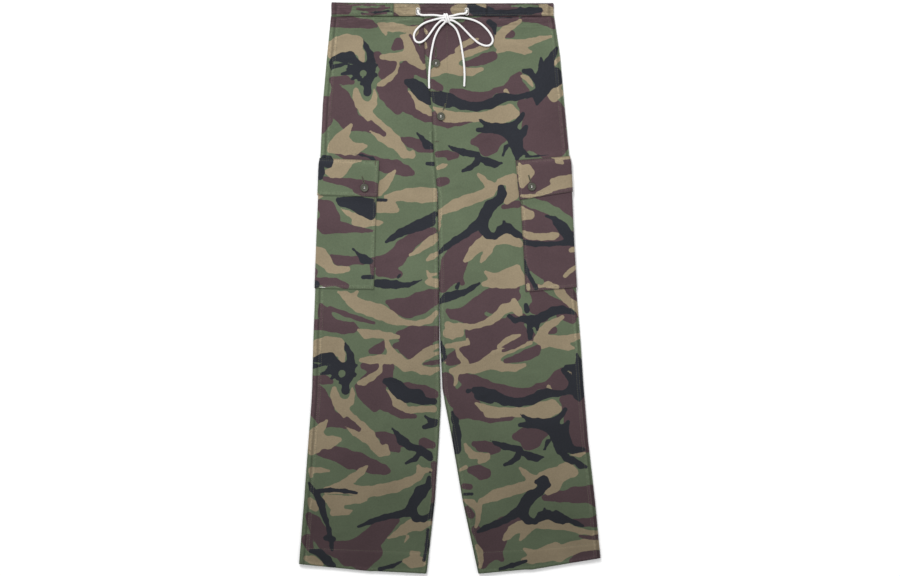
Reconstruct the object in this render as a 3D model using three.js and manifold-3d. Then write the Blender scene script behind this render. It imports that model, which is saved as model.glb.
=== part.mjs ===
// Cargo pants with a drawcord waist, laid flat on their back. All sizes in millimetres.
// X runs across the garment, +Y to the waist, +Z up from the surface that it lies on.
// Left and right are the sides as seen from above, with the front up.
import * as THREE from 'three';
import { mergeVertices } from 'three/addons/utils/BufferGeometryUtils.js';
import Module from 'manifold-3d';

const wasm = await Module();
wasm.setup();

// Cloth
const WALL = 1.2; // one layer of cloth
const BAND_WALL = 2.2; // waistband, cloth folded double
const HEM_WALL = 2.0; // turned hem
const HEM_STEP = 3; // the hem gets its full thickness this far below its stitching
const GAP = 0.3; // between neighbours at a seam and between layers
const SEAM_HALF = 0.18; // from a middle seam's line to each panel's edge
const LAYER = WALL + GAP; // from the middle of one cloth to the next one lying on it
const LAID = 2.1; // from the back's middle to the front's, where the front lies down
const FOLD = 3.6; // the same at a side fold, which stays round
const FOLD_REACH = 55; // how far from a side fold the front takes to lie down
const TOP_STILL = 18; // folds start this far below the waistband,
const SIDE_STILL = 27.5; // this far in from a side fold
const INNER_STILL = 34.4; // and this far in from a leg's inner edge
const RAMP = 13; // how far cloth takes to climb over a pocket's edge
const FLAP_LAP = 2; // how far a flap reaches past its bag
const BAG_BELLY = 1.5; // how far a bag's middle stands out from its sewn edges

// Fly: the edge of the right front, which laps over the left front
const FLY_LIFT = 2.1; // how far the lapping edge lies above the left front
const FLY_WIDTH = 26; // lifted at full height over this width
const FLY_RAMP = 26; // and comes down over this one
const UNDERLAP = 14; // how far the left front reaches under it
const FLY_OPEN_END = 292; // y where the lap ends
const FLY_FULL_END = 284; // y down to which it is lifted in full
const FLY_FLAT_END = 215; // y where the lift is gone
const UNDERLAP_FADE = 12; // the left front draws back to the seam over this length

const CROTCH = 196; // y where the two legs part
const CROTCH_BLEND = 42; // below it the inner edges round over this length
const PARTING = 2.5; // how much sooner they draw apart than they round
const BAND_FOOT = 509.5; // y of the seam between waistband and panels
const PANEL_TOP = BAND_FOOT - GAP;

// Buttons and buttonholes
const BUTTON = {
  radius: 7.6, height: 2.8, rim: 1.2, round: 0.7, dish: 0.9, hole: 0.95, holeOut: 1.7, sides: 20,
};
const SLOT = { width: 5.4, length: 11.4, depth: 8 };

// Drawcord
const CORD = 4.0;
const CORD_SIDES = 8;

const MATERIALS = {
  cloth: new THREE.MeshStandardMaterial({ color: 0x5c6650, roughness: 0.92, metalness: 0 }),
  band: new THREE.MeshStandardMaterial({ color: 0x6a5c52, roughness: 0.92, metalness: 0 }),
  pocket: new THREE.MeshStandardMaterial({ color: 0x56654b, roughness: 0.92, metalness: 0 }),
  flap: new THREE.MeshStandardMaterial({ color: 0x6b5f54, roughness: 0.92, metalness: 0 }),
  button: new THREE.MeshStandardMaterial({ color: 0x3f4237, roughness: 0.45, metalness: 0 }),
  cord: new THREE.MeshStandardMaterial({ color: 0xf1eeea, roughness: 0.85, metalness: 0 }),
};

// Outlines, top to bottom: at height y, the x of the side fold, of the pocket's front edge
// and of the leg's inner edge.
const LEGS = {
  left: {
    outward: -1,
    seamInset: 8.6, // the outseam lies this far in from the side fold
    outline: [
      { y: 534, side: -221.0, pocket: -122.0, inner: -23.5 },
      { y: 509, side: -222.6, pocket: -123.2, inner: -23.5 },
      { y: 435, side: -230.0, pocket: -127.0, inner: -23.5 },
      { y: 345, side: -238.0, pocket: -131.0, inner: -23.5 },
      { y: 238, side: -242.8, pocket: -134.5, inner: -23.5 },
      { y: 165, side: -245.6, pocket: -137.0, inner: -22.5 },
      { y: 90, side: -248.8, pocket: -139.5, inner: -21.3 },
      { y: -4, side: -252.2, pocket: -142.0, inner: -20.0 },
      { y: -98, side: -255.8, pocket: -144.0, inner: -19.6 },
      { y: -188, side: -258.0, pocket: -146.0, inner: -17.2 },
      { y: -218, side: -259.6, pocket: -146.6, inner: -16.6 },
      { y: -285, side: -264.9, pocket: -147.6, inner: -20.1 },
      { y: -398, side: -273.1, pocket: -148.8, inner: -27.6 },
      { y: -536, side: -284.0, pocket: -150.5, inner: -43.2 },
    ],
    // Heights of the sewn lines at the side fold, the pocket's front edge and the inner edge
    lines: {
      flapTop: { side: 243.5, pocket: 238.5, inner: 240.0 },
      flapFoot: { side: 173.5, pocket: 170.5, inner: 168.5 },
      bagFoot: { side: -0.5, pocket: -3.0, inner: -4.0 },
      hemStitch: { side: -487.5, pocket: -493.0, inner: -497.0 },
      hem: { side: -517.5, pocket: -530.8, inner: -535.2 },
    },
  },
  right: {
    outward: 1,
    seamInset: 4.2,
    outline: [
      { y: 534, side: 193.5, pocket: 102.0, inner: -23.5 },
      { y: 509, side: 195.4, pocket: 103.5, inner: -23.5 },
      { y: 435, side: 206.6, pocket: 110.0, inner: -23.5 },
      { y: 345, side: 214.7, pocket: 116.6, inner: -23.5 },
      { y: 240, side: 224.6, pocket: 125.1, inner: -23.5 },
      { y: 165, side: 228.4, pocket: 132.6, inner: -22.5 },
      { y: 90, side: 231.6, pocket: 137.0, inner: -21.3 },
      { y: -8, side: 237.4, pocket: 142.0, inner: -20.0 },
      { y: -98, side: 245.0, pocket: 145.0, inner: -18.4 },
      { y: -188, side: 251.0, pocket: 147.6, inner: -14.0 },
      { y: -218, side: 253.6, pocket: 148.4, inner: -8.9 },
      { y: -285, side: 259.1, pocket: 150.0, inner: 4.2 },
      { y: -398, side: 272.2, pocket: 152.0, inner: 23.6 },
      { y: -536, side: 285.3, pocket: 154.5, inner: 53.4 },
    ],
    lines: {
      flapTop: { side: 247.0, pocket: 239.0, inner: 236.0 },
      flapFoot: { side: 180.0, pocket: 165.0, inner: 158.0 },
      bagFoot: { side: 0.8, pocket: -7.6, inner: -9.0 },
      hemStitch: { side: -478.0, pocket: -491.0, inner: -497.0 },
      hem: { side: -506.3, pocket: -527.8, inner: -535.2 },
    },
  },
};

// The middle seams above the crotch: at height y, the x of the fly's edge and of the back seam
const RISE = [
  { y: 509, fly: -49.2, back: -14.0 },
  { y: 423, fly: -46.0, back: -15.5 },
  { y: 395, fly: -42.6, back: -16.0 },
  { y: 367, fly: -37.0, back: -16.6 },
  { y: 328, fly: -33.5, back: -17.4 },
  { y: 277, fly: -31.4, back: -18.8 },
  { y: 225, fly: -27.8, back: -21.0 },
  { y: 187, fly: -24.2, back: -23.2 },
  { y: 130, fly: -22.2, back: -22.2 },
];
const RISE_END = RISE[RISE.length - 1].y;

// Soft folds of the fronts: middle, full length, half width, height and turn from the X axis
const CREASES = [
  { x: -150, y: 484, length: 120, width: 13, height: 0.9, turn: 2 },
  { x: -160, y: 446, length: 90, width: 15, height: 0.7, turn: -5 },
  { x: 120, y: 480, length: 130, width: 13, height: 1.0, turn: -3 },
  { x: 150, y: 440, length: 90, width: 16, height: 0.8, turn: 6 },
  { x: -110, y: 330, length: 150, width: 24, height: 1.6, turn: -28 },
  { x: 60, y: 320, length: 130, width: 24, height: 1.5, turn: 24 },
  { x: -85, y: 205, length: 110, width: 20, height: 1.8, turn: -22 },
  { x: 45, y: 200, length: 110, width: 20, height: 1.8, turn: 24 },
  { x: -80, y: 118, length: 90, width: 18, height: 1.4, turn: -12 },
  { x: 55, y: 96, length: 110, width: 22, height: 1.6, turn: 14 },
  { x: -190, y: -60, length: 130, width: 24, height: 1.6, turn: 18 },
  { x: -90, y: -30, length: 140, width: 26, height: 1.4, turn: 70 },
  { x: 190, y: -78, length: 120, width: 24, height: 1.7, turn: -14 },
  { x: 62, y: -64, length: 140, width: 24, height: 1.4, turn: 104 },
  { x: -130, y: -150, length: 170, width: 22, height: 1.9, turn: -9 },
  { x: 110, y: -165, length: 160, width: 22, height: 1.8, turn: 11 },
  { x: -175, y: -232, length: 120, width: 22, height: 1.5, turn: 14 },
  { x: 185, y: -255, length: 120, width: 22, height: 1.5, turn: -16 },
  { x: -95, y: -330, length: 180, width: 26, height: 1.5, turn: 82 },
  { x: 120, y: -350, length: 190, width: 26, height: 1.5, turn: 97 },
  { x: -190, y: -420, length: 130, width: 24, height: 1.4, turn: 10 },
  { x: 205, y: -430, length: 120, width: 24, height: 1.4, turn: -12 },
];

// Waistband: at x, the heights of the front's and the back's top edges
const BAND_TOP = [
  { x: -222, front: 535.2, back: 535.2 },
  { x: -190, front: 534.4, back: 534.8 },
  { x: -105, front: 533.4, back: 534.2 },
  { x: -60, front: 531.8, back: 533.8 },
  { x: -10, front: 531.4, back: 533.6 },
  { x: 69, front: 532.8, back: 533.6 },
  { x: 195, front: 533.4, back: 533.8 },
];
const BAND_CUTS = { left: -105.2, right: 69.4 }; // the centre strip's two ends
const BAND_SIDE = { left: -222.0, right: 194.6 }; // outermost cloth of the waistband
const BAND_SEAM_INSET = 8.6;
const BAND_LIFT = 2.9; // from the back strip's middle to the front strip's
const BAND_FOLD = 3.4; // the same at the side folds
const BAND_REACH = 40; // from the seam, how far the front strip takes to lie down
const BAND_THIN_FROM = 0.9; // share of its height where the top edge starts to thin
const BAND_EDGE = 0.4; // share of its thickness left at the top edge

// Where the buttonholes of the cord lie, and the buttons
const SLOTS = [
  { x: -59.5, y: 518.0 },
  { x: 31.9, y: 517.8 },
];
const BUTTONS = {
  fly_button_top: { x: -25.8, y: 421.0, on: 'front_right' },
  fly_button_low: { x: -16.6, y: 321.4, on: 'front_right' },
  flap_button_left: { x: -159.8, y: 187.4, on: 'flap_left' },
  flap_button_right: { x: 153.6, y: 189.4, on: 'flap_right' },
};

// The drawcord's route, piece by piece: out of the buttonhole to the knot, round the loop,
// and down the tail to its bare end.
const CORD_ROUTES = {
  cord_entry_left: { steps: 7, route: [
    [-59.5, 521.6, 4.6], [-59.5, 518.0, 5.9], [-58.5, 514.2, 7.4], [-54.6, 511.5, 7.8],
    [-47.3, 510.7, 7.7], [-37.0, 511.0, 7.6], [-26.6, 510.7, 7.8], [-15.6, 509.0, 8.7],
  ] },
  cord_entry_right: { steps: 6, route: [
    [31.9, 521.4, 4.6], [31.9, 518.2, 6.0], [30.9, 515.2, 7.4], [27.2, 513.6, 7.8],
    [20.4, 513.2, 7.7], [12.9, 511.8, 7.9], [4.6, 509.3, 8.7],
  ] },
  cord_loop_left: { steps: 15, route: [
    [-16.5, 505.2, 8.7], [-31.4, 501.6, 7.9], [-46.4, 496.4, 8.0], [-57.6, 488.9, 6.0],
    [-65.1, 479.6, 5.7], [-67.2, 470.2, 5.7], [-63.6, 462.0, 5.8], [-55.8, 459.7, 6.4],
    [-47.3, 464.0, 7.6], [-39.8, 472.1, 7.7], [-32.6, 482.4, 7.7], [-25.4, 492.0, 7.9],
    [-15.9, 500.9, 8.7],
  ] },
  cord_loop_right: { steps: 17, route: [
    [6.1, 505.2, 8.7], [19.2, 505.9, 7.4], [32.3, 504.7, 6.2], [45.4, 501.3, 5.7],
    [58.6, 494.5, 5.7], [69.8, 484.2, 5.8], [77.3, 473.9, 5.8], [80.7, 463.6, 5.7],
    [76.4, 455.6, 5.7], [67.0, 453.7, 5.7], [54.8, 458.4, 5.7], [42.6, 468.3, 5.7],
    [30.5, 480.9, 5.8], [17.9, 493.2, 7.0], [5.3, 500.9, 8.7],
  ] },
  cord_tail_left: { steps: 14, route: [
    [-11.8, 498.6, 8.4], [-18.4, 488.0, 7.9], [-24.9, 476.4, 7.7], [-29.3, 465.4, 7.7],
    [-32.3, 452.3, 7.7], [-34.9, 438.5, 7.7], [-36.8, 422.3, 7.7], [-38.2, 405.5, 7.7],
    [-38.8, 388.6, 7.7], [-38.5, 373.1, 7.7],
  ] },
  cord_tail_right: { steps: 14, route: [
    [0.7, 498.2, 8.4], [8.0, 490.4, 7.0], [13.8, 481.4, 5.9], [17.9, 470.6, 5.7],
    [21.1, 457.6, 5.7], [24.0, 439.5, 5.7], [26.3, 423.3, 5.7], [27.5, 408.3, 5.7],
    [27.8, 393.4, 5.7], [27.1, 377.2, 5.7],
  ] },
};
const KNOT = { x: -5.2, y: 505.8, z: 9.1, length: 22, depth: 15, height: 9.6, waist: 0.86 };

const mix = (a, b, t) => a + (b - a) * t;
const ease = (t) => {
  const k = Math.min(1, Math.max(0, t));
  return k * k * (3 - 2 * k);
};

// A column of a table at a place between its rows, along the table's own first column
function read(table, key, place, along = 'y') {
  const falling = table[0][along] > table[table.length - 1][along];
  const rows = falling ? [...table].reverse() : table;
  const last = rows.length - 1;
  let n = rows.findIndex((row) => row[along] >= place);
  if (n < 0) n = last;
  n = Math.max(1, n);
  const [low, high] = [rows[n - 1], rows[n]];
  return mix(low[key], high[key], (place - low[along]) / (high[along] - low[along]));
}

// How far the cloth at (x, y) is lifted by the soft folds
function creaseLift(x, y) {
  let lift = 0;
  for (const crease of CREASES) {
    const turn = THREE.MathUtils.degToRad(crease.turn);
    const along = (x - crease.x) * Math.cos(turn) + (y - crease.y) * Math.sin(turn);
    const across = (y - crease.y) * Math.cos(turn) - (x - crease.x) * Math.sin(turn);
    const reach = Math.abs(along) / (crease.length / 2);
    const fade = reach < 1 ? Math.cos((reach * Math.PI) / 2) ** 2 : 0;
    lift += crease.height * fade * Math.exp(-((across / crease.width) ** 2));
  }
  return lift;
}

// The lift of the right front beside the fly's edge
function flyLift(x, y) {
  const inFromEdge = x - read(RISE, 'fly', Math.max(y, RISE_END));
  const across = ease((FLY_WIDTH + FLY_RAMP - inFromEdge) / FLY_RAMP);
  return FLY_LIFT * across * ease((y - FLY_FLAT_END) / (FLY_FULL_END - FLY_FLAT_END));
}

// 0 above the crotch, where the panels meet flat, and 1 where the leg's inner edge is a fold
const parted = (y) => ease((CROTCH - y) / CROTCH_BLEND);

// The rows of a leg's grid: its height at the three places, the cloth's thickness, how many
// layers the leg lies on, and whether the plain back panel needs the row too.
function legRows(leg) {
  const level = (y) => ({ side: y, pocket: y, inner: y });
  const moved = (line, by) => ({ side: line.side + by, pocket: line.pocket + by, inner: line.inner + by });
  const between = (a, b, t) => ({
    side: mix(a.side, b.side, t), pocket: mix(a.pocket, b.pocket, t), inner: mix(a.inner, b.inner, t),
  });
  const { flapTop, flapFoot, bagFoot, hemStitch, hem } = leg.lines;
  const stops = [
    { line: level(PANEL_TOP), under: 0, steps: 9 },
    { line: moved(flapTop, RAMP), under: 0, steps: 1 },
    { line: flapTop, under: 1, steps: 1, name: 'flapTop' },
    { line: moved(flapTop, -RAMP), under: 2, steps: 2, name: 'bagTop' },
    { line: flapFoot, under: 2, steps: 1, name: 'flapFoot' },
    { line: moved(flapFoot, -RAMP), under: 1, steps: 5 },
    { line: bagFoot, under: 1, steps: 1, name: 'bagFoot' },
    { line: moved(bagFoot, -RAMP), under: 0, steps: 16, backSteps: 8 },
    { line: hemStitch, under: 0, steps: 1 },
    { line: moved(hemStitch, -HEM_STEP), under: 0, steps: 1, wall: HEM_WALL },
    { line: hem, under: 0, steps: 0, wall: HEM_WALL },
  ];
  const rows = [];
  stops.forEach((stop, n) => {
    const next = stops[n + 1];
    const every = stop.backSteps ? stop.steps / stop.backSteps : 1;
    for (let k = 0; k < Math.max(1, stop.steps); k += 1) {
      const t = stop.steps ? k / stop.steps : 0;
      rows.push({
        ...(next ? between(stop.line, next.line, t) : stop.line),
        wall: stop.wall ?? WALL,
        under: next ? mix(stop.under, next.under, t) * LAYER : 0,
        inBack: k % every === 0,
        name: k === 0 ? stop.name : undefined,
      });
    }
  });
  return rows;
}

// Columns across a leg, from the front's inner edge over the side fold to the back's inner edge.
// Each gives its zone and how far along it the column lies.
const ARC = { inner: 2, side: 4 };
const THIGH_PARTS = 6;
const POCKET_PARTS = 4.9;
const COLUMNS = [
  ...[0, 1, 2].map((n) => ({ face: 'front', zone: 'innerArc', t: n / ARC.inner })),
  ...[1, 2, 3, 4, 5].map((n) => ({ face: 'front', zone: 'thigh', t: n / THIGH_PARTS })),
  { face: 'front', zone: 'ramp', t: 0 },
  ...[0, 1, 2, 3, 4].map((n) => ({ face: 'front', zone: 'pocket', t: n / POCKET_PARTS })),
  { face: 'front', zone: 'seam', t: 1 },
  ...[0, 1, 2, 3, 4].map((n) => ({ face: 'side', zone: 'sideArc', t: n / ARC.side })),
  ...[3, 1.6, 0].map((n) => ({ face: 'back', zone: 'pocket', t: n / POCKET_PARTS })),
  { face: 'back', zone: 'ramp', t: 0 },
  ...[4.5, 3, 1.5].map((n) => ({ face: 'back', zone: 'thigh', t: n / THIGH_PARTS })),
  ...[2, 1, 0].map((n) => ({ face: 'back', zone: 'innerArc', t: n / ARC.inner })),
];
const SEAM = COLUMNS.findIndex((column) => column.zone === 'seam');
const POCKET_FRONT = COLUMNS.findIndex((column) => column.zone === 'pocket');
const POCKET_BACK = COLUMNS.findLastIndex((column) => column.zone === 'pocket');

// One grid point of a leg's cloth: its middle place p, the direction out of the garment, and
// the wall there. The back lies on the floor, or on the pocket layers under it.
function legPoint(leg, rightFront, row, column) {
  const { outward } = leg;
  const onPocket = column.zone === 'pocket' || column.zone === 'seam' || column.face === 'side';
  const under = onPocket ? row.under : 0;
  const floor = row.wall / 2 + under;
  const radius = (FOLD + row.wall - WALL) / 2;
  const side = read(leg.outline, 'side', row.side);
  const arcX = side - outward * (row.wall / 2 + radius);
  const seamX = side - outward * leg.seamInset;

  if (column.zone === 'sideArc') {
    const angle = (0.5 - column.t) * Math.PI;
    const out = new THREE.Vector3(outward * Math.cos(angle), 0, Math.sin(angle));
    const p = new THREE.Vector3(arcX, row.side, floor + radius).addScaledVector(out, radius);
    return { p, out, wall: row.wall };
  }

  // The inner edge: a seam to the other half above the crotch, a fold of its own below
  const round = parted(row.inner);
  const face = column.face;
  const riseKey = face === 'front' ? 'fly' : 'back';
  let meet = read(RISE, riseKey, Math.max(row.inner, RISE_END)) + outward * SEAM_HALF;
  if (face === 'front' && !rightFront) meet += UNDERLAP * ease((row.inner - FLY_OPEN_END) / UNDERLAP_FADE);
  const legEdge = read(leg.outline, 'inner', row.inner) + outward * (GAP + row.wall / 2);
  const innerX = mix(meet, legEdge, Math.min(1, PARTING * round));

  let x = 0;
  let y = 0;
  const pocketX = read(leg.outline, 'pocket', row.pocket);
  const rampX = pocketX - outward * RAMP;
  const arcTopX = innerX + outward * radius;
  if (column.zone === 'innerArc') {
    x = innerX + outward * radius * column.t;
    y = row.inner;
  } else if (column.zone === 'thigh') {
    x = mix(arcTopX, rampX, column.t);
    y = mix(row.inner, row.pocket, column.t);
  } else if (column.zone === 'ramp') {
    x = rampX;
    y = row.pocket;
  } else {
    x = column.zone === 'seam' ? seamX : mix(pocketX, seamX, column.t);
    y = mix(row.pocket, row.side, Math.abs((x - pocketX) / (side - pocketX)));
  }

  const down = face === 'back' ? -1 : 1;
  let z = floor;
  if (face === 'front') {
    const fromSide = Math.abs(x - seamX);
    const fromInner = Math.abs(x - innerX);
    const rounder = Math.max(ease(1 - fromSide / FOLD_REACH), round * ease(1 - fromInner / FOLD_REACH));
    const inside = ease(fromSide / SIDE_STILL) * (1 - round * ease(1 - fromInner / INNER_STILL));
    const still = ease((PANEL_TOP - y) / TOP_STILL) * inside;
    z += mix(LAID, FOLD, rounder) + (row.wall - WALL) + creaseLift(x, y) * still;
    if (rightFront) z += flyLift(x, y);
  }
  const flat = new THREE.Vector3(x, y, z);
  const flatOut = new THREE.Vector3(0, 0, down);
  if (column.zone !== 'innerArc') return { p: flat, out: flatOut, wall: row.wall };

  // The rounded inner edge, from beside the seam at mid height to the top or foot of the fold
  const lowest = Math.asin(GAP / 2 / radius);
  const angle = mix(lowest, Math.PI / 2, column.t);
  const middle = row.wall / 2 + radius;
  const roundOut = new THREE.Vector3(-outward * Math.cos(angle), 0, down * Math.sin(angle));
  const rounded = new THREE.Vector3(arcTopX, row.inner, middle).addScaledVector(roundOut, radius);
  return {
    p: flat.lerp(rounded, round),
    out: flatOut.lerp(roundOut, round).normalize(),
    wall: row.wall,
  };
}

// Turns a closed geometry's faces outwards, if its volume says they point in
function faceOutwards(geometry) {
  const place = geometry.getAttribute('position');
  const index = geometry.getIndex();
  const corner = (n) => new THREE.Vector3().fromBufferAttribute(place, index.getX(n));
  let volume = 0;
  for (let n = 0; n < index.count; n += 3) {
    volume += corner(n).dot(corner(n + 1).cross(corner(n + 2)));
  }
  if (volume < 0) {
    const turned = Array.from(index.array);
    for (let n = 0; n < turned.length; n += 3) [turned[n], turned[n + 1]] = [turned[n + 1], turned[n]];
    geometry.setIndex(turned);
  }
  geometry.computeVertexNormals();
  return geometry;
}

// Closes a grid of cloth points into one wall. liftAt moves a point outwards from the grid.
function clothWall(grid, liftAt = () => 0) {
  const rows = grid.length;
  const columns = grid[0].length;
  const positions = [];
  for (const face of [0.5, -0.5]) {
    grid.forEach((line, i) => line.forEach((point, j) => {
      const lift = liftAt(i, j, point) + face * point.wall;
      positions.push(...point.p.clone().addScaledVector(point.out, lift).toArray());
    }));
  }
  const at = (face, i, j) => (face * rows + i) * columns + j;
  const last = columns - 1;
  const faces = [];
  const quad = (a, b, c, d) => faces.push(a, b, c, a, c, d);
  for (let i = 0; i < rows - 1; i += 1) {
    for (let j = 0; j < columns - 1; j += 1) {
      quad(at(0, i, j), at(0, i, j + 1), at(0, i + 1, j + 1), at(0, i + 1, j));
      quad(at(1, i, j), at(1, i + 1, j), at(1, i + 1, j + 1), at(1, i, j + 1));
    }
  }
  for (let i = 0; i < rows - 1; i += 1) {
    quad(at(0, i, 0), at(0, i + 1, 0), at(1, i + 1, 0), at(1, i, 0));
    quad(at(0, i + 1, last), at(0, i, last), at(1, i, last), at(1, i + 1, last));
  }
  for (let j = 0; j < columns - 1; j += 1) {
    quad(at(0, 0, j + 1), at(0, 0, j), at(1, 0, j), at(1, 0, j + 1));
    quad(at(0, rows - 1, j), at(0, rows - 1, j + 1), at(1, rows - 1, j + 1), at(1, rows - 1, j));
  }
  const geometry = new THREE.BufferGeometry();
  geometry.setAttribute('position', new THREE.Float32BufferAttribute(positions, 3));
  geometry.setIndex(faces);
  return faceOutwards(geometry);
}

// Draws the first or last column of a grid back from its seam, or out past it if by is negative
function trimEdge(grid, end, by) {
  return grid.map((line) => {
    const edge = end === 'first' ? 0 : line.length - 1;
    const next = end === 'first' ? 1 : line.length - 2;
    const inwards = line[next].p.clone().sub(line[edge].p).normalize();
    const moved = { ...line[edge], p: line[edge].p.clone().addScaledVector(inwards, by) };
    return line.map((point, j) => (j === edge ? moved : point));
  });
}

const group = new THREE.Group();
const meshes = {};
function add(name, geometry, material) {
  const mesh = new THREE.Mesh(geometry, MATERIALS[material]);
  mesh.name = name;
  meshes[name] = mesh;
  group.add(mesh);
  return mesh;
}

function addLeg(side) {
  const leg = LEGS[side];
  const rows = legRows(leg);
  const grid = rows.map((row) => COLUMNS.map((column) => legPoint(leg, side === 'right', row, column)));
  const named = (name) => rows.findIndex((row) => row.name === name);
  const cut = (lines, from, to) => lines.map((line) => line.slice(from, to + 1));

  const front = cut(grid, 0, SEAM);
  add(`front_${side}`, clothWall(trimEdge(front, 'last', GAP / 2)), 'cloth');
  const back = cut(grid.filter((_, i) => rows[i].inBack), SEAM, COLUMNS.length - 1);
  add(`back_${side}`, clothWall(trimEdge(back, 'first', GAP / 2)), 'cloth');

  // How far the bag bellies out on the front, between its sewn edges
  const bagRows = grid.slice(named('bagTop'), named('bagFoot') + 1);
  const belly = (i, j) => {
    const across = Math.min(1, Math.max(0, j) / (SEAM - POCKET_FRONT));
    const along = Math.min(1, Math.max(0, i) / (bagRows.length - 1));
    return BAG_BELLY * Math.sin(Math.PI * across) * Math.sin(Math.PI * along);
  };
  const bag = cut(bagRows, POCKET_FRONT, POCKET_BACK);
  add(`pocket_${side}`, clothWall(bag, (i, j) => LAYER + belly(i, j)), 'pocket');

  const flapRows = grid.slice(named('flapTop'), named('flapFoot') + 1);
  const flap = trimEdge(cut(flapRows, POCKET_FRONT, POCKET_BACK), 'first', -FLAP_LAP);
  const flapLift = (i, j) => (i === 0 ? LAYER : 2 * LAYER + belly(i - 1, j));
  add(`flap_${side}`, clothWall(flap, flapLift), 'flap');
}

// Waistband point: x across the band, height share t from its foot to its top edge
function bandPoint(x, t, face) {
  const rim = { front: read(BAND_TOP, 'front', x, 'x'), back: read(BAND_TOP, 'back', x, 'x') };
  const y = mix(BAND_FOOT, rim[face], t);
  const toSide = Math.min(x - BAND_SIDE.left, BAND_SIDE.right - x);
  const loft = mix(BAND_LIFT, BAND_FOLD, ease(1 - (toSide - BAND_SEAM_INSET) / BAND_REACH));
  const z = BAND_WALL / 2 + (face === 'front' ? loft : 0);
  const thinned = Math.max(0, (t - BAND_THIN_FROM) / (1 - BAND_THIN_FROM));
  const wall = BAND_WALL * mix(1, BAND_EDGE, thinned);
  return { p: new THREE.Vector3(x, y, z), out: new THREE.Vector3(0, 0, face === 'front' ? 1 : -1), wall };
}

const BAND_ROWS = [0, 0.3, 0.65, BAND_THIN_FROM, 1];

function addBandFront(name, fromX, toX, steps) {
  const grid = BAND_ROWS.map((t) => Array.from({ length: steps + 1 }, (_, n) => (
    bandPoint(mix(fromX, toX, n / steps), t, 'front'))));
  return add(name, clothWall(grid), 'band');
}

// The back strip: from the left seam round the left fold, along the floor, and up the right fold
function addBandBack() {
  const radius = BAND_FOLD / 2;
  const arcSteps = 4;
  const floorSteps = 12;
  const arc = (sideX, outward, t, n) => {
    const angle = (0.5 - n / arcSteps) * Math.PI;
    const foot = bandPoint(sideX, t, 'back');
    const out = new THREE.Vector3(outward * Math.cos(angle), 0, Math.sin(angle));
    const centre = sideX - outward * (BAND_WALL / 2 + radius);
    const p = new THREE.Vector3(centre, foot.p.y, BAND_WALL / 2 + radius).addScaledVector(out, radius);
    return { p, out, wall: foot.wall };
  };
  const { left, right } = BAND_SIDE;
  const grid = BAND_ROWS.map((t) => {
    const seamLeft = bandPoint(left + BAND_SEAM_INSET - GAP, t, 'front');
    const seamRight = bandPoint(right - BAND_SEAM_INSET + GAP, t, 'front');
    const line = [seamLeft];
    for (let n = 0; n <= arcSteps; n += 1) line.push(arc(left, -1, t, n));
    for (let n = 1; n < floorSteps; n += 1) line.push(bandPoint(mix(left, right, n / floorSteps), t, 'back'));
    for (let n = arcSteps; n >= 0; n -= 1) line.push(arc(right, 1, t, n));
    line.push(seamRight);
    return line;
  });
  add('waistband_back', clothWall(grid), 'band');
}

// A geometry with its corners shared, holding positions alone
function mergedCopy(geometry) {
  const bare = geometry.clone();
  bare.deleteAttribute('normal');
  bare.deleteAttribute('uv');
  return mergeVertices(bare, 1e-3);
}

function toSolid(geometry) {
  const merged = mergedCopy(geometry);
  return new wasm.Manifold(new wasm.Mesh({
    numProp: 3,
    vertProperties: new Float32Array(merged.getAttribute('position').array),
    triVerts: new Uint32Array(merged.getIndex().array),
  }));
}

function fromSolid(solid) {
  const mesh = solid.getMesh();
  const geometry = new THREE.BufferGeometry();
  geometry.setAttribute('position', new THREE.Float32BufferAttribute(mesh.vertProperties, 3));
  geometry.setIndex(Array.from(mesh.triVerts));
  geometry.computeVertexNormals();
  return geometry;
}

// An upright buttonhole's cutter: a slot with round ends
function slotSolid({ x, y }) {
  const half = SLOT.width / 2;
  const straight = SLOT.length / 2 - half;
  const outline = new THREE.Shape();
  outline.absarc(0, straight, half, 0, Math.PI, false);
  outline.absarc(0, -straight, half, Math.PI, 2 * Math.PI, false);
  const settings = { depth: SLOT.depth, bevelEnabled: false, curveSegments: 4 };
  const cutter = new THREE.ExtrudeGeometry(outline, settings);
  cutter.translate(x, y, BAND_WALL + GAP / 2);
  return toSolid(cutter);
}

function addWaistband() {
  const { left, right } = BAND_CUTS;
  const seam = BAND_SEAM_INSET;
  addBandFront('waistband_front_left', BAND_SIDE.left + seam, left - GAP / 2, 5);
  const centre = addBandFront('waistband_front_centre', left + GAP / 2, right - GAP / 2, 8);
  addBandFront('waistband_front_right', right + GAP / 2, BAND_SIDE.right - seam, 5);
  addBandBack();
  let cloth = toSolid(centre.geometry);
  for (const slot of SLOTS) cloth = cloth.subtract(slotSolid(slot));
  centre.geometry = fromSolid(cloth);
}

// A four-hole button, dished inside its rim, standing on its own foot
function buttonGeometry() {
  const { radius, height, rim, round, dish, hole, holeOut, sides } = BUTTON;
  const outline = [
    [0, 0], [radius - round, 0], [radius, round], [radius, height - round], [radius - round, height],
    [radius - rim, height], [radius - rim - round, height - dish], [0, height - dish],
  ].map(([x, y]) => new THREE.Vector2(x, y));
  const disc = new THREE.LatheGeometry(outline, sides).rotateX(Math.PI / 2);
  let solid = toSolid(faceOutwards(mergedCopy(disc)));
  for (const quarter of [0, 1, 2, 3]) {
    const angle = (quarter + 0.5) * (Math.PI / 2);
    const drill = new THREE.CylinderGeometry(hole, hole, 3 * height, 8).rotateX(Math.PI / 2);
    drill.translate(holeOut * Math.cos(angle), holeOut * Math.sin(angle), 0);
    solid = solid.subtract(toSolid(drill));
  }
  return fromSolid(solid);
}

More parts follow.
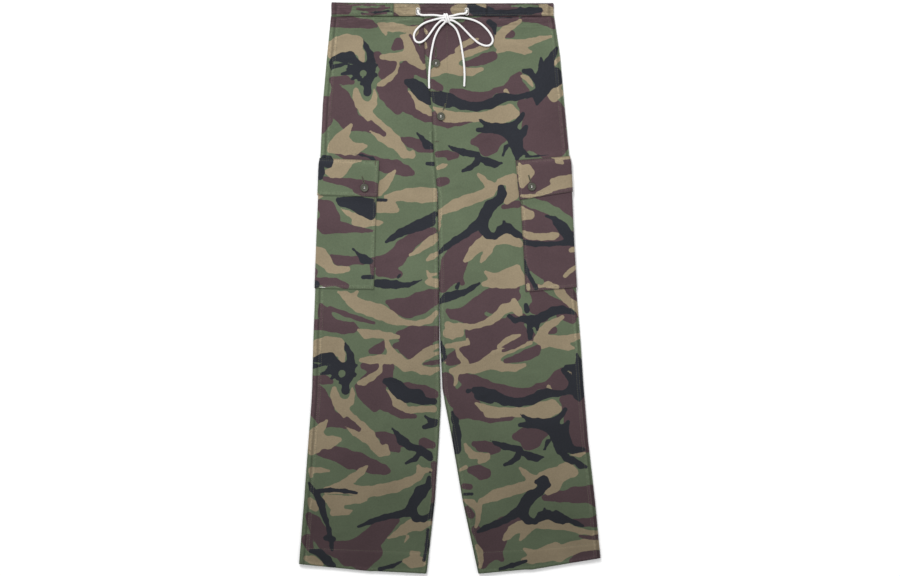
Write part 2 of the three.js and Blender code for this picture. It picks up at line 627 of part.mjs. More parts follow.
// The highest point of a mesh under a disc of this radius
function restHeight(mesh, x, y, radius) {
  mesh.updateMatrixWorld();
  mesh.geometry.computeBoundingSphere();
  const above = 100;
  const spots = Array.from({ length: 12 }, (_, n) => (n / 12) * 2 * Math.PI);
  const reach = [[0, 0], ...spots.map((a) => [radius * Math.cos(a), radius * Math.sin(a)])];
  const heights = reach.flatMap(([dx, dy]) => {
    const ray = new THREE.Raycaster(new THREE.Vector3(x + dx, y + dy, above), new THREE.Vector3(0, 0, -1));
    return ray.intersectObject(mesh).slice(0, 1).map((hit) => hit.point.z);
  });
  return Math.max(...heights);
}

function addButtons() {
  for (const [name, spot] of Object.entries(BUTTONS)) {
    const mesh = add(name, buttonGeometry(), 'button');
    mesh.position.set(spot.x, spot.y, restHeight(meshes[spot.on], spot.x, spot.y, BUTTON.radius) + GAP);
  }
}

function addDrawcord() {
  const section = new THREE.Shape();
  for (let n = 0; n < CORD_SIDES; n += 1) {
    const angle = ((n + 0.5) / CORD_SIDES) * 2 * Math.PI;
    const [x, y] = [(CORD / 2) * Math.cos(angle), (CORD / 2) * Math.sin(angle)];
    if (n === 0) section.moveTo(x, y);
    else section.lineTo(x, y);
  }
  section.closePath();
  for (const [name, { steps, route }] of Object.entries(CORD_ROUTES)) {
    const path = new THREE.CatmullRomCurve3(route.map((spot) => new THREE.Vector3(...spot)));
    const tube = new THREE.ExtrudeGeometry(section, { steps, extrudePath: path, bevelEnabled: false });
    add(name, tube, 'cord');
  }

  // The bow's knot: a rounded lump, narrower in the middle where the cord is wound round it
  const { length, waist } = KNOT;
  const ends = 8;
  const outline = Array.from({ length: ends + 1 }, (_, n) => {
    const along = mix(-1, 1, n / ends);
    const full = Math.sqrt(Math.max(0, 1 - along ** 4));
    return new THREE.Vector2(full * mix(waist, 1, along ** 2), (along * length) / 2);
  });
  const knot = new THREE.LatheGeometry(outline, 12).rotateZ(-Math.PI / 2);
  knot.scale(1, KNOT.depth / 2, KNOT.height / 2);
  const mesh = add('cord_knot', faceOutwards(mergedCopy(knot)), 'cord');
  mesh.position.set(KNOT.x, KNOT.y, KNOT.z);
}

addLeg('left');
addLeg('right');
addWaistband();
addButtons();
addDrawcord();

export default group;
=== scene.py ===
# Cargo pants in woodland camouflage cloth, laid flat on their back.
# Sizes are millimetres here and become metres when a mesh is made.
import math

import bpy
import numpy as np
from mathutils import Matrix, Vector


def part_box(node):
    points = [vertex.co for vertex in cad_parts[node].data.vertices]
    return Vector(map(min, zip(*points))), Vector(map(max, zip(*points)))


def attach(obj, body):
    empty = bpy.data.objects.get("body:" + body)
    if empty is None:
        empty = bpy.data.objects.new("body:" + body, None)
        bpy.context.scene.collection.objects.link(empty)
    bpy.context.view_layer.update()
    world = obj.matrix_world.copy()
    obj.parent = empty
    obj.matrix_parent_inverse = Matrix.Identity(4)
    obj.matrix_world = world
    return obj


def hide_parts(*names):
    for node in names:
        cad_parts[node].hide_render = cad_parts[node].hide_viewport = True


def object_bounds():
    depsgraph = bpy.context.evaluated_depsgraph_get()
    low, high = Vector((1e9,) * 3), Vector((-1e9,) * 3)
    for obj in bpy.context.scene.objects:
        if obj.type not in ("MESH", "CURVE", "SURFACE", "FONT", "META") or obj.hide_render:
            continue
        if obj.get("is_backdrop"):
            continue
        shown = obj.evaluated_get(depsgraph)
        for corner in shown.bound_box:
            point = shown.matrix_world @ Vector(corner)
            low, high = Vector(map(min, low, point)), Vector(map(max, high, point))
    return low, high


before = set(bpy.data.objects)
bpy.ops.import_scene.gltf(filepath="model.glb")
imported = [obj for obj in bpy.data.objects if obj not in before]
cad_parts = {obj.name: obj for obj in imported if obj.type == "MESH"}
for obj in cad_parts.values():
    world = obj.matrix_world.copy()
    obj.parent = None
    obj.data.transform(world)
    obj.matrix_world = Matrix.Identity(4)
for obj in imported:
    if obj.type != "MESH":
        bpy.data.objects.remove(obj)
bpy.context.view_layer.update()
scene = bpy.context.scene
milli = 0.001

# Camera straight above, framed as the photo is
view = {"height": 6.0, "centreX": 0.00047, "centreY": -0.00019, "widthSeen": 1.6866, "focusHeight": 0.004}

cameraData = bpy.data.cameras.new("overhead")
cameraData.sensor_width = 36
cameraData.lens = 36 * (view["height"] - view["focusHeight"]) / view["widthSeen"]
cameraData.clip_end = 50
camera = bpy.data.objects.new("overhead", cameraData)
camera.location = (view["centreX"], view["centreY"], view["height"])
scene.collection.objects.link(camera)
scene.camera = camera
scene.view_settings.view_transform = "Standard"
print("camera ready")


# Small tools for shapes worked out on grids
def mix(a, b, t):
    return a + (b - a) * t


def ease(t):  # 0 to 1 with soft ends: 3t2 - 2t3
    k = np.clip(t, 0, 1)
    return k * k * (3 - 2 * k)


def unit(v):
    return v / np.maximum(np.linalg.norm(v, axis=-1, keepdims=True), 1e-9)


def quadGrid(rows, columns, start=0, wrap=False):
    # Corner numbers of the squares between neighbouring rows and columns
    i, j = np.meshgrid(np.arange(rows - 1), np.arange(columns if wrap else columns - 1), indexing="ij")
    k = (j + 1) % columns
    a, b = start + i * columns, start + (i + 1) * columns
    return np.stack([a + j, a + k, b + k, b + j], -1).reshape(-1, 4)


def facesOutwards(places, quads, triangles):
    # Turns all faces round if the volume they enclose comes out negative
    parts = [quads[:, [0, 1, 2]], quads[:, [0, 2, 3]], triangles]
    volume = sum(np.einsum("ij,ij->", places[t[:, 0]], np.cross(places[t[:, 1]], places[t[:, 2]])) for t in parts)
    return (quads[:, ::-1], triangles[:, ::-1]) if volume < 0 else (quads, triangles)


def makePiece(name, places, quads, triangles=None, uv=None, marks=None, material=None, sharp=50):
    triangles = np.zeros((0, 3), int) if triangles is None else np.asarray(triangles)
    quads, triangles = facesOutwards(places, quads, triangles)
    mesh = bpy.data.meshes.new(name)
    mesh.from_pydata((places * milli).tolist(), [], quads.tolist() + triangles.tolist())
    mesh.polygons.foreach_set("use_smooth", np.ones(len(mesh.polygons), bool))
    if sharp:
        mesh.set_sharp_from_angle(angle=math.radians(sharp))
    if uv is not None:
        corner = np.empty(len(mesh.loops), np.int32)
        mesh.loops.foreach_get("vertex_index", corner)
        layer = mesh.uv_layers.new(name="flatCloth")
        layer.data.foreach_set("uv", (uv * milli)[corner].astype(np.float32).ravel())
    for key, values in (marks or {}).items():
        kind = "FLOAT_VECTOR" if values.ndim == 2 else "FLOAT"
        attribute = mesh.attributes.new(key, kind, "POINT")
        attribute.data.foreach_set("vector" if values.ndim == 2 else "value", values.astype(np.float32).ravel())
    if material:
        mesh.materials.append(material)
    piece = bpy.data.objects.new(name, mesh)
    scene.collection.objects.link(piece)
    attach(piece, "root")
    return piece


def shell(name, middle, out, wall, uv, marks=None, material=None):
    # A closed sheet: the grid moved half a wall outwards, the same inwards, and its rim filled
    rows, columns = middle.shape[:2]
    top = middle + out * wall[..., None] / 2
    foot = middle - out * wall[..., None] / 2
    count = rows * columns
    places = np.concatenate([top.reshape(-1, 3), foot.reshape(-1, 3)])
    ring = np.concatenate([
        np.arange(columns - 1), np.arange(rows - 1) * columns + columns - 1,
        (rows - 1) * columns + np.arange(columns - 1, 0, -1), np.arange(rows - 1, 0, -1) * columns,
    ])
    after = np.roll(ring, -1)
    rim = np.stack([after, ring, ring + count, after + count], -1)
    quads = np.concatenate([quadGrid(rows, columns), quadGrid(rows, columns, count)[:, ::-1], rim])
    double = {key: np.concatenate([v.reshape(count, -1)] * 2).squeeze(-1) if v.ndim == 2
              else np.concatenate([v.reshape(count, 3)] * 2) for key, v in (marks or {}).items()}
    return makePiece(name, places, quads, uv=np.concatenate([uv.reshape(-1, 2)] * 2), marks=double,
                     material=material)


def smoothPath(points, step):
    # A Catmull-Rom line through the points, cut into steps of even length
    p = np.asarray(points, float)
    p = np.concatenate([2 * p[:1] - p[1:2], p, 2 * p[-1:] - p[-2:-1]])
    t = np.linspace(0, 1, 24, endpoint=False)[:, None]
    parts = []
    for n in range(1, len(p) - 2):
        a, b, c, d = p[n - 1:n + 3]
        parts.append(0.5 * (2 * b + (c - a) * t + (2 * a - 5 * b + 4 * c - d) * t**2
                            + (3 * b - a - 3 * c + d) * t**3))
    line = np.concatenate([*parts, p[-2:-1]])
    return evenly(line, step)


def lengthAlong(line):
    return np.concatenate([[0], np.cumsum(np.linalg.norm(np.diff(line, axis=0), axis=1))])


def evenly(line, step):
    along = lengthAlong(line)
    stops = np.linspace(0, along[-1], max(2, int(round(along[-1] / step)) + 1))
    return np.stack([np.interp(stops, along, line[:, k]) for k in range(line.shape[1])], -1)


def relaxed(line, passes):
    # Every inner point moves to a quarter of each neighbour and a half of itself, again and again
    for _ in range(passes):
        line = np.concatenate([line[:1], (line[:-2] + 2 * line[1:-1] + line[2:]) / 4, line[-1:]])
    return line


def tube(name, line, radius, sides, material=None, ripple=None):
    # Circles of the radius round each point of the line, square to it, with both ends closed
    tangent = unit(np.gradient(line, axis=0))
    side = unit(np.cross(tangent, [0, 0, 1.0]))
    up = np.cross(side, tangent)
    along = lengthAlong(line)
    angle = np.linspace(0, 2 * np.pi, sides, endpoint=False)
    reach = np.broadcast_to(radius, along.shape)[:, None] * np.ones(sides)
    if ripple is not None:
        reach = reach + ripple(along[:, None], angle[None, :])
    places = (line[:, None] + reach[..., None] * (np.cos(angle)[None, :, None] * side[:, None]
                                                  + np.sin(angle)[None, :, None] * up[:, None]))
    count = len(line) * sides
    uv = np.stack(np.broadcast_arrays(along[:, None], angle[None, :] * np.max(radius)), -1).reshape(-1, 2)
    ends = np.stack([line[0], line[-1]])
    ring = np.arange(sides)
    last = count - sides
    caps = np.concatenate([
        np.stack([np.full(sides, count), np.roll(ring, -1), ring], -1),
        np.stack([np.full(sides, count + 1), last + ring, last + np.roll(ring, -1)], -1),
    ])
    return makePiece(name, np.concatenate([places.reshape(-1, 3), ends]), quadGrid(len(line), sides, wrap=True),
                     caps, uv=np.concatenate([uv, [[0, 0], [along[-1], 0]]]), material=material, sharp=0)


# The drawcord: two lengths from the waistband's slots, tied in a bow
drawcord = {
    "diameter": 4.0, "step": 0.55, "sides": 14, "strandLift": 0.11, "strands": 5, "braidPitch": 7.0,
    "relaxing": 14,
    "left": [
        [-59.5, 521.6, 4.6], [-59.5, 518.0, 5.9], [-58.5, 514.2, 7.4], [-54.6, 511.5, 7.8],
        [-47.3, 510.7, 7.7], [-37.0, 511.0, 7.6], [-26.6, 510.7, 7.8], [-16.6, 509.4, 8.7],
        [-11.8, 509.1, 9.2], [-9.2, 508.5, 9.5], [-8.2, 507.1, 9.6], [-9.2, 505.7, 9.5],
        [-11.8, 505.1, 9.2], [-16.5, 505.2, 8.7], [-31.4, 501.6, 7.9], [-46.4, 496.4, 8.0],
        [-57.6, 488.9, 6.0], [-65.1, 479.6, 5.7], [-67.2, 470.2, 5.7], [-63.6, 462.0, 5.8],
        [-55.8, 459.7, 6.4], [-47.3, 464.0, 7.6], [-39.8, 472.1, 7.7], [-32.6, 482.4, 7.7],
        [-25.4, 492.0, 7.9], [-16.6, 500.2, 8.7], [-12.0, 501.3, 9.1], [-9.2, 500.9, 9.3],
        [-8.0, 499.5, 9.2], [-8.6, 497.7, 8.9], [-11.0, 495.2, 8.5], [-14.5, 491.6, 8.1],
        [-18.8, 486.8, 7.9], [-24.9, 476.4, 7.7], [-29.3, 465.4, 7.7], [-32.3, 452.3, 7.7],
        [-34.9, 438.5, 7.7], [-36.8, 422.3, 7.7], [-38.2, 405.5, 7.7], [-38.8, 388.6, 7.7],
        [-38.5, 373.1, 7.7],
    ],
    "right": [
        [31.9, 521.4, 4.6], [31.9, 518.2, 6.0], [30.9, 515.2, 7.4], [27.2, 513.6, 7.8],
        [20.4, 513.2, 7.7], [12.9, 511.8, 7.9], [5.6, 509.6, 8.7], [1.2, 509.1, 9.2],
        [-1.2, 508.5, 9.5], [-2.2, 507.1, 9.6], [-1.2, 505.7, 9.5], [1.4, 505.1, 9.2],
        [6.1, 505.2, 8.7], [19.2, 505.9, 7.4], [32.3, 504.7, 6.2], [45.4, 501.3, 5.7],
        [58.6, 494.5, 5.7], [69.8, 484.2, 5.8], [77.3, 473.9, 5.8], [80.7, 463.6, 5.7],
        [76.4, 455.6, 5.7], [67.0, 453.7, 5.7], [54.8, 458.4, 5.7], [42.6, 468.3, 5.7],
        [30.5, 480.9, 5.8], [17.9, 493.2, 7.0], [6.6, 500.2, 8.6], [1.6, 501.3, 9.1],
        [-1.2, 500.9, 9.3], [-2.4, 499.5, 9.2], [-1.8, 497.7, 8.9], [0.8, 495.2, 8.2],
        [4.6, 492.4, 7.5], [9.4, 487.8, 6.7], [13.8, 481.4, 5.9], [17.9, 470.6, 5.7],
        [21.1, 457.6, 5.7], [24.0, 439.5, 5.7], [26.3, 423.3, 5.7], [27.5, 408.3, 5.7],
        [27.8, 393.4, 5.7], [27.1, 377.2, 5.7],
    ],
    # two slanting turns round the middle of the bow
    "knot": [
        [-10.4, 504.0, 6.9], [-10.8, 509.4, 7.4], [-10.2, 512.6, 9.4], [-8.8, 510.6, 11.6], [-7.4, 506.0, 12.2],
        [-6.2, 501.2, 11.7], [-5.4, 497.8, 9.6], [-5.6, 499.2, 7.2], [-6.6, 504.6, 6.6], [-6.9, 509.8, 7.2],
        [-6.2, 512.8, 9.6], [-4.8, 510.4, 11.7], [-3.4, 505.6, 12.2], [-2.2, 500.8, 11.6], [-1.2, 497.8, 9.5],
        [-1.0, 499.4, 7.2], [-1.8, 503.6, 6.8],
    ],
}


def braidLift(along, angle):
    # Strands wound both ways: the higher of two sine waves that run round and along the cord
    turn = 2 * np.pi * along / drawcord["braidPitch"]
    waves = np.maximum(np.cos(drawcord["strands"] * angle + turn * 2), np.cos(drawcord["strands"] * angle - turn * 2))
    return drawcord["strandLift"] * (waves - 0.6)


def cordRadius(along, radius):
    # Full radius, drawn in over the last half radius at both bare ends
    toEnd = np.minimum(along, along[-1] - along)
    return radius * np.sqrt(np.clip(0.35 + toEnd / radius, 0.35, 1))


cordObjects = {}
for side, nodes in (("left", ("cord_entry_left", "cord_loop_left", "cord_tail_left")),
                    ("right", ("cord_entry_right", "cord_loop_right", "cord_tail_right"))):
    line = evenly(relaxed(smoothPath(drawcord[side], drawcord["step"]), drawcord["relaxing"]), drawcord["step"])
    radius = cordRadius(lengthAlong(line), drawcord["diameter"] / 2 - 0.04)
    cordObjects[side] = tube(f"drawcord_{side}", line, radius, drawcord["sides"], ripple=braidLift)
    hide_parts(*nodes)
    cordObjects[side + "Line"] = line

knotLine = evenly(relaxed(smoothPath(drawcord["knot"], drawcord["step"]), 6), drawcord["step"])
bowKnot = tube("bow_knot", knotLine, drawcord["diameter"] / 2 - 0.1, drawcord["sides"], ripple=braidLift)
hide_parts("cord_knot")
for side in ("left", "right"):
    line = cordObjects[side + "Line"]
    print(f"drawcord {side}: {lengthAlong(line)[-1]:.0f} mm")


# Sizes of the cut, its layers and its folds
garment = {
    "wall": 1.2, "bandWall": 2.2, "hemWall": 2.0, "layer": 1.5, "laid": 2.1, "fold": 3.6, "foldReach": 55,
    "topStill": 18, "sideStill": 27.5, "innerStill": 34.4, "ramp": 13, "flapLap": 2, "bagBelly": 1.5,
    "seamHalf": 0.05, "panelTop": 509.2, "crotch": 196, "crotchBlend": 42, "parting": 2.5,
    "flyLift": 2.1, "flyWidth": 26, "flyRamp": 26, "flyFullEnd": 284, "flyFlatEnd": 215,
    "underlap": 14, "underlapEnd": 292, "underlapFade": 12, "pitch": 2.8, "backPitch": 5.6, "smallFold": 2.2,
}

# Each row: height, then x of the side fold, of the pocket's front edge and of the inner edge
legs = {
    "left": {
        "outward": -1, "seamInset": 8.6,
        "outline": [
            [534, -221.0, -122.0, -23.5], [509, -222.6, -123.2, -23.5], [435, -230.0, -127.0, -23.5],
            [345, -238.0, -131.0, -23.5], [238, -242.8, -134.5, -23.5], [165, -245.6, -137.0, -22.5],
            [90, -248.8, -139.5, -21.3], [-4, -252.2, -142.0, -20.0], [-98, -255.8, -144.0, -19.6],
            [-188, -258.0, -146.0, -17.2], [-218, -259.6, -146.6, -16.6], [-285, -264.9, -147.6, -20.1],
            [-398, -273.1, -148.8, -27.6], [-536, -284.0, -150.5, -43.2],
        ],
        # heights at the side fold, the pocket's front edge and the inner edge
        "flapTop": [243.5, 238.5, 240.0], "flapFoot": [173.5, 170.5, 168.5], "bagFoot": [-0.5, -3.0, -4.0],
        "hemStitch": [-487.5, -493.0, -497.0], "hem": [-517.5, -530.8, -535.2],
    },
    "right": {
        "outward": 1, "seamInset": 4.2,
        "outline": [
            [534, 193.5, 102.0, -23.5], [509, 195.4, 103.5, -23.5], [435, 206.6, 110.0, -23.5],
            [345, 214.7, 116.6, -23.5], [240, 224.6, 125.1, -23.5], [165, 228.4, 132.6, -22.5],
            [90, 231.6, 137.0, -21.3], [-8, 237.4, 142.0, -20.0], [-98, 245.0, 145.0, -18.4],
            [-188, 251.0, 147.6, -14.0], [-218, 253.6, 148.4, -8.9], [-285, 259.1, 150.0, 4.2],
            [-398, 272.2, 152.0, 23.6], [-536, 285.3, 154.5, 53.4],
        ],
        "flapTop": [247.0, 239.0, 236.0], "flapFoot": [180.0, 165.0, 158.0], "bagFoot": [0.8, -7.6, -9.0],
        "hemStitch": [-478.0, -491.0, -497.0], "hem": [-506.3, -527.8, -535.2],
    },
}
# The middle seams above the crotch: height, x of the fly's edge, x of the back seam
rise = np.array([
    [509, -49.2, -14.0], [423, -46.0, -15.5], [395, -42.6, -16.0], [367, -37.0, -16.6], [328, -33.5, -17.4],
    [277, -31.4, -18.8], [225, -27.8, -21.0], [187, -24.2, -23.2], [130, -22.2, -22.2],
])

# Soft folds: middle x and y, length, half width, height (below 0 a trough), turn from the X axis
mainFolds = [
    [-150, 484, 120, 13, 0.9, 2], [-160, 446, 90, 15, 0.7, -5], [120, 480, 130, 13, 1.0, -3],
    [150, 440, 90, 16, 0.8, 6], [-110, 330, 150, 24, 1.6, -28], [60, 320, 130, 24, 1.5, 24],
    [-85, 205, 110, 20, 1.8, -22], [45, 200, 110, 20, 1.8, 24], [-80, 118, 90, 18, 1.4, -12],
    [55, 96, 110, 22, 1.6, 14], [-190, -60, 130, 24, 1.6, 18], [-90, -30, 140, 26, 1.4, 70],
    [190, -78, 120, 24, 1.7, -14], [62, -64, 140, 24, 1.4, 104], [-130, -150, 170, 22, 1.9, -9],
    [110, -165, 160, 22, 1.8, 11], [-175, -232, 120, 22, 1.5, 14], [185, -255, 120, 22, 1.5, -16],
    [-95, -330, 180, 26, 1.5, 82], [120, -350, 190, 26, 1.5, 97], [-190, -420, 130, 24, 1.4, 10],
    [205, -430, 120, 24, 1.4, -12],
]
smallFolds = [
    # hips, under the waistband
    [-178, 498, 74, 4.0, 0.50, 3], [-122, 493, 58, 4.6, 0.42, -6], [-204, 471, 46, 5, 0.50, 8],
    [-150, 463, 82, 5, -0.45, -3], [-92, 480, 52, 4, 0.40, 13], [-186, 431, 66, 6, 0.45, -12],
    [-76, 500, 38, 3.6, 0.38, 21], [-210, 447, 36, 4, -0.4, 16], [96, 499, 84, 4.5, 0.50, -4],
    [151, 489, 64, 5, 0.46, 4], [58, 485, 48, 4.5, 0.42, -14], [176, 463, 50, 5, -0.46, -9],
    [108, 456, 88, 6, 0.50, -2], [142, 416, 70, 6, 0.45, 14], [28, 498, 42, 4, 0.38, -18],
    # from the crotch
    [-72, 263, 84, 5, 0.55, -30], [-101, 239, 92, 6, 0.65, -24], [-60, 223, 66, 4.6, -0.5, -35],
    [-52, 197, 58, 5, 0.60, -18], [-76, 171, 82, 6, 0.55, -26], [-112, 291, 88, 7, 0.50, -40],
    [21, 259, 78, 5, 0.55, 32], [51, 237, 94, 6, 0.65, 26], [13, 215, 68, 4.8, -0.5, 38],
    [8, 191, 56, 5, 0.60, 20], [39, 166, 84, 6, 0.55, 24], [71, 286, 92, 7, 0.50, 38],
    # thighs and knees
    [-60, 101, 70, 6, 0.50, -15], [-96, 61, 92, 7, 0.55, 22], [-58, 11, 78, 7, -0.45, -60],
    [41, 71, 80, 6, 0.50, 18], [81, 22, 90, 7, 0.55, -20], [36, -20, 82, 7, -0.45, 62],
    [-201, -121, 76, 6, 0.60, -14], [-160, -141, 104, 7, -0.5, 8], [-101, -171, 88, 6, 0.60, -20],
    [-189, -191, 92, 6, 0.55, 20], [-61, -119, 66, 6, 0.50, 30], [91, -121, 90, 6, 0.60, 16],
    [151, -151, 100, 7, -0.5, -10], [191, -186, 78, 6, 0.60, -22], [61, -201, 84, 6, 0.55, 24],
    [41, -111, 68, 6, 0.50, -32],
    # lower legs
    [-121, -251, 112, 8, 0.55, 70], [-201, -301, 88, 7, 0.50, -30], [-81, -401, 120, 8, 0.55, 86],
    [-151, -421, 108, 8, -0.4, 74], [-214, -461, 58, 6, 0.50, 12], [101, -271, 114, 8, 0.55, 108],
    [191, -311, 92, 7, 0.50, 30], [91, -421, 118, 8, 0.55, 95], [171, -401, 110, 8, -0.4, 104],
    [232, -471, 62, 6, 0.50, -14],
]


def foldLift(folds, x, y):
    # Each fold is a bell across its width and fades as a squared cosine to both ends
    lift = np.zeros(np.broadcast(x, y).shape)
    for foldX, foldY, length, width, height, turn in folds:
        c, s = math.cos(math.radians(turn)), math.sin(math.radians(turn))
        along = (x - foldX) * c + (y - foldY) * s
        across = (y - foldY) * c - (x - foldX) * s
        fade = np.cos(np.clip(np.abs(along) / (length / 2), 0, 1) * np.pi / 2) ** 2
        lift = lift + height * fade * np.exp(-((across / width) ** 2))
    return lift


def pucker(along, shift=0.0):
    # Small uneven waves along a seam: four sines whose lengths share no common measure
    waves = [(5.3, 0.34), (8.7, 0.30), (13.9, 0.22), (23.0, 0.14)]
    return sum(size * np.sin(2 * np.pi * along / length + shift * (n + 1.7)) for n, (length, size) in enumerate(waves))


def tableAt(table, column, place):
    rows = np.asarray(table, float)[::-1]
    return np.interp(place, rows[:, 0], rows[:, column])


def legStops(leg):
    # The rows where something changes: heights at side, pocket and inner edge, layers under, wall
    top, step = garment["panelTop"], garment["ramp"]
    line = {key: np.array(leg[key]) for key in ("flapTop", "flapFoot", "bagFoot", "hemStitch", "hem")}
    rows = [
        (np.full(3, top), 0, 0), (line["flapTop"] + step, 0, 0), (line["flapTop"], 1, 0),
        (line["flapTop"] - step, 2, 0), (line["flapFoot"], 2, 0), (line["flapFoot"] - step, 1, 0),
        (line["bagFoot"], 1, 0), (line["bagFoot"] - step, 0, 0), (line["hemStitch"], 0, 0),
        (line["hemStitch"] - 3, 0, 1), (line["hem"], 0, 1),
    ]
    return np.array([row[0] for row in rows]), np.array([row[1] for row in rows]), np.array([row[2] for row in rows])


def easedSteps(w):  # whole numbers stay, and what lies between them is eased
    return np.floor(w) + ease(w - np.floor(w))


def byStops(stops, c):
    # A value at column c between the stops of its own row; stops are the last axis
    n = np.clip(np.floor(c).astype(int), 0, stops.shape[-1] - 2)
    low = np.take_along_axis(stops, n[..., None], -1)[..., 0]
    high = np.take_along_axis(stops, n[..., None] + 1, -1)[..., 0]
    return mix(low, high, c - n)


def legSurface(side, w, c):
    # Row w counts the stops from waist to hem. Column c: 0 inner edge, 1 top of its round, 2 and 3
    # the pocket's ramp, 4 outseam, 5 to 6 round the side fold, 7 and 8 the ramp on the back, 9 to 10
    # the inner edge of the back. Gives the cloth's middle, its outward direction, wall and flat place.
    leg = legs[side]
    outward = leg["outward"]
    w, c = np.broadcast_arrays(np.asarray(w, float), np.asarray(c, float))
    heights, under, hemmed = legStops(leg)
    number = np.arange(len(heights))
    sideY, pocketY, innerY = (np.interp(w, number, heights[:, k]) for k in range(3))
    wall = mix(garment["wall"], garment["hemWall"], np.interp(w, number, hemmed))
    share = ease(np.minimum(c - 2, 8 - c))
    floor = wall / 2 + garment["layer"] * np.interp(easedSteps(w), number, under) * share
    radius = (garment["fold"] + wall - garment["wall"]) / 2
    back = c > 5.5

    sideX = tableAt(leg["outline"], 1, sideY)
    pocketX = tableAt(leg["outline"], 2, pocketY)
    seamX = sideX - outward * leg["seamInset"]
    arcX = sideX - outward * (wall / 2 + radius)
    rampX = pocketX - outward * garment["ramp"]
    parted = ease((garment["crotch"] - innerY) / garment["crotchBlend"])
    riseY = np.maximum(innerY, rise[-1, 0])
    meet = np.where(back, tableAt(rise, 2, riseY), tableAt(rise, 1, riseY)) + outward * garment["seamHalf"]
    if side == "left":
        reach = garment["underlap"] * ease((innerY - garment["underlapEnd"]) / garment["underlapFade"])
        meet = meet + np.where(back, 0, reach)
    legEdge = tableAt(leg["outline"], 3, innerY) + outward * (0.3 + wall / 2)
    innerX = mix(meet, legEdge, np.minimum(1, garment["parting"] * parted))
    roundX = innerX + outward * radius

    seamY = mix(pocketY, sideY, np.abs((seamX - pocketX) / (sideX - pocketX)))
    x = byStops(np.stack([innerX, roundX, rampX, pocketX, seamX, arcX, arcX, pocketX, rampX, roundX, innerX], -1), c)
    y = byStops(np.stack([innerY, innerY, pocketY, pocketY, seamY, sideY, sideY, pocketY, pocketY, innerY, innerY],
                         -1), c)

    # the front lies on the back, and is highest along its rounded edges
    fromSide, fromInner = np.abs(x - seamX), np.abs(x - innerX)
    rounder = np.maximum(ease(1 - fromSide / garment["foldReach"]), parted * ease(1 - fromInner / garment["foldReach"]))
    inside = ease(fromSide / garment["sideStill"]) * (1 - parted * ease(1 - fromInner / garment["innerStill"]))
    still = ease((garment["panelTop"] - y) / garment["topStill"]) * inside
    near = ease((garment["panelTop"] - y) / 7) * ease(fromSide / 12) * (1 - parted * ease(1 - fromInner / 16))
    lifts = foldLift(mainFolds, x, y) * still + garment["smallFold"] * foldLift(smallFolds, x, y) * near
    z = floor + mix(garment["laid"], garment["fold"], rounder) + wall - garment["wall"] + lifts
    if side == "right":
        inFromEdge = x - tableAt(rise, 1, riseY)
        across = ease((garment["flyWidth"] + garment["flyRamp"] - inFromEdge) / garment["flyRamp"])
        z = z + garment["flyLift"] * across * ease(
            (y - garment["flyFlatEnd"]) / (garment["flyFullEnd"] - garment["flyFlatEnd"]))
    seamWave = 0.16 * pucker(y, 1.0 if side == "left" else 2.3)
    z = z + seamWave * np.exp(-((fromSide - 6) / 7) ** 2) + 0.16 * pucker(y, 4.0) * np.exp(-((fromInner - 6) / 6) ** 2)
    z = np.where(back, floor, z)

    # the side fold, half a circle from its top to the floor
    turn = (0.5 - (c - 5)) * np.pi
    arc = (c > 5) & (c < 6)
    x = np.where(arc, arcX + outward * radius * np.cos(turn), x)
    z = np.where(arc, floor + radius + radius * np.sin(turn), z)
    zero = np.zeros_like(x)
    out = np.stack([np.where(arc, outward * np.cos(turn), zero), zero,
                    np.where(arc, np.sin(turn), np.where(back, -1.0, 1.0))], -1)
    middle = np.stack([x, y, z], -1)

    # the inner edge below the crotch: a quarter circle from mid height to the top or the floor
    innerArc = (c < 1) | (c > 9)
    t = np.where(back, 10 - c, c)
    lowest = np.arcsin(0.03 / radius)
    angle = mix(lowest, np.pi / 2, np.clip(t, 0, 1))
    roundOut = np.stack([-outward * np.cos(angle), zero, np.where(back, -1, 1) * np.sin(angle)], -1)
    rounded = np.stack([roundX, y, wall / 2 + radius], -1) + roundOut * radius[..., None]
    blend = np.where(innerArc, parted, 0)[..., None]
    middle = mix(middle, rounded, blend)
    out = unit(mix(out, roundOut, blend))

    # flat place: x as far as the side fold, then on by the length round it
    beyond = arcX + outward * (radius * np.pi * np.clip(c - 5, 0, 1) + np.where(c > 6, np.abs(x - arcX), 0))
    flat = np.stack([np.where(c > 5, beyond, x), y], -1)
    return middle, out, wall, flat


def spread(stops, sizes, pitch):
    # Column or row numbers between whole stops, at about the pitch for the size of each stretch
    parts = [np.linspace(a, b, max(1, math.ceil(size / pitch)), endpoint=False)
             for a, b, size in zip(stops[:-1], stops[1:], sizes)]
    return np.concatenate([*parts, [stops[-1]]])


def rowNumbers(side, first, last, pitch):
    heights = legStops(legs[side])[0][:, 1]
    stops = np.arange(first, last + 1)
    sizes = -np.diff(heights[stops])
    return spread(stops, np.where(sizes < 4, 4 * pitch, sizes), pitch)


def bagBelly(rows, columns):
    # How far the bag stands out between its sewn edges: a half sine each way
    across, along = np.clip(columns - 3, 0, 1), np.clip((rows - 3) / 3, 0, 1)
    return garment["bagBelly"] * np.sin(np.pi * across) * np.sin(np.pi * along)


pieces = {}


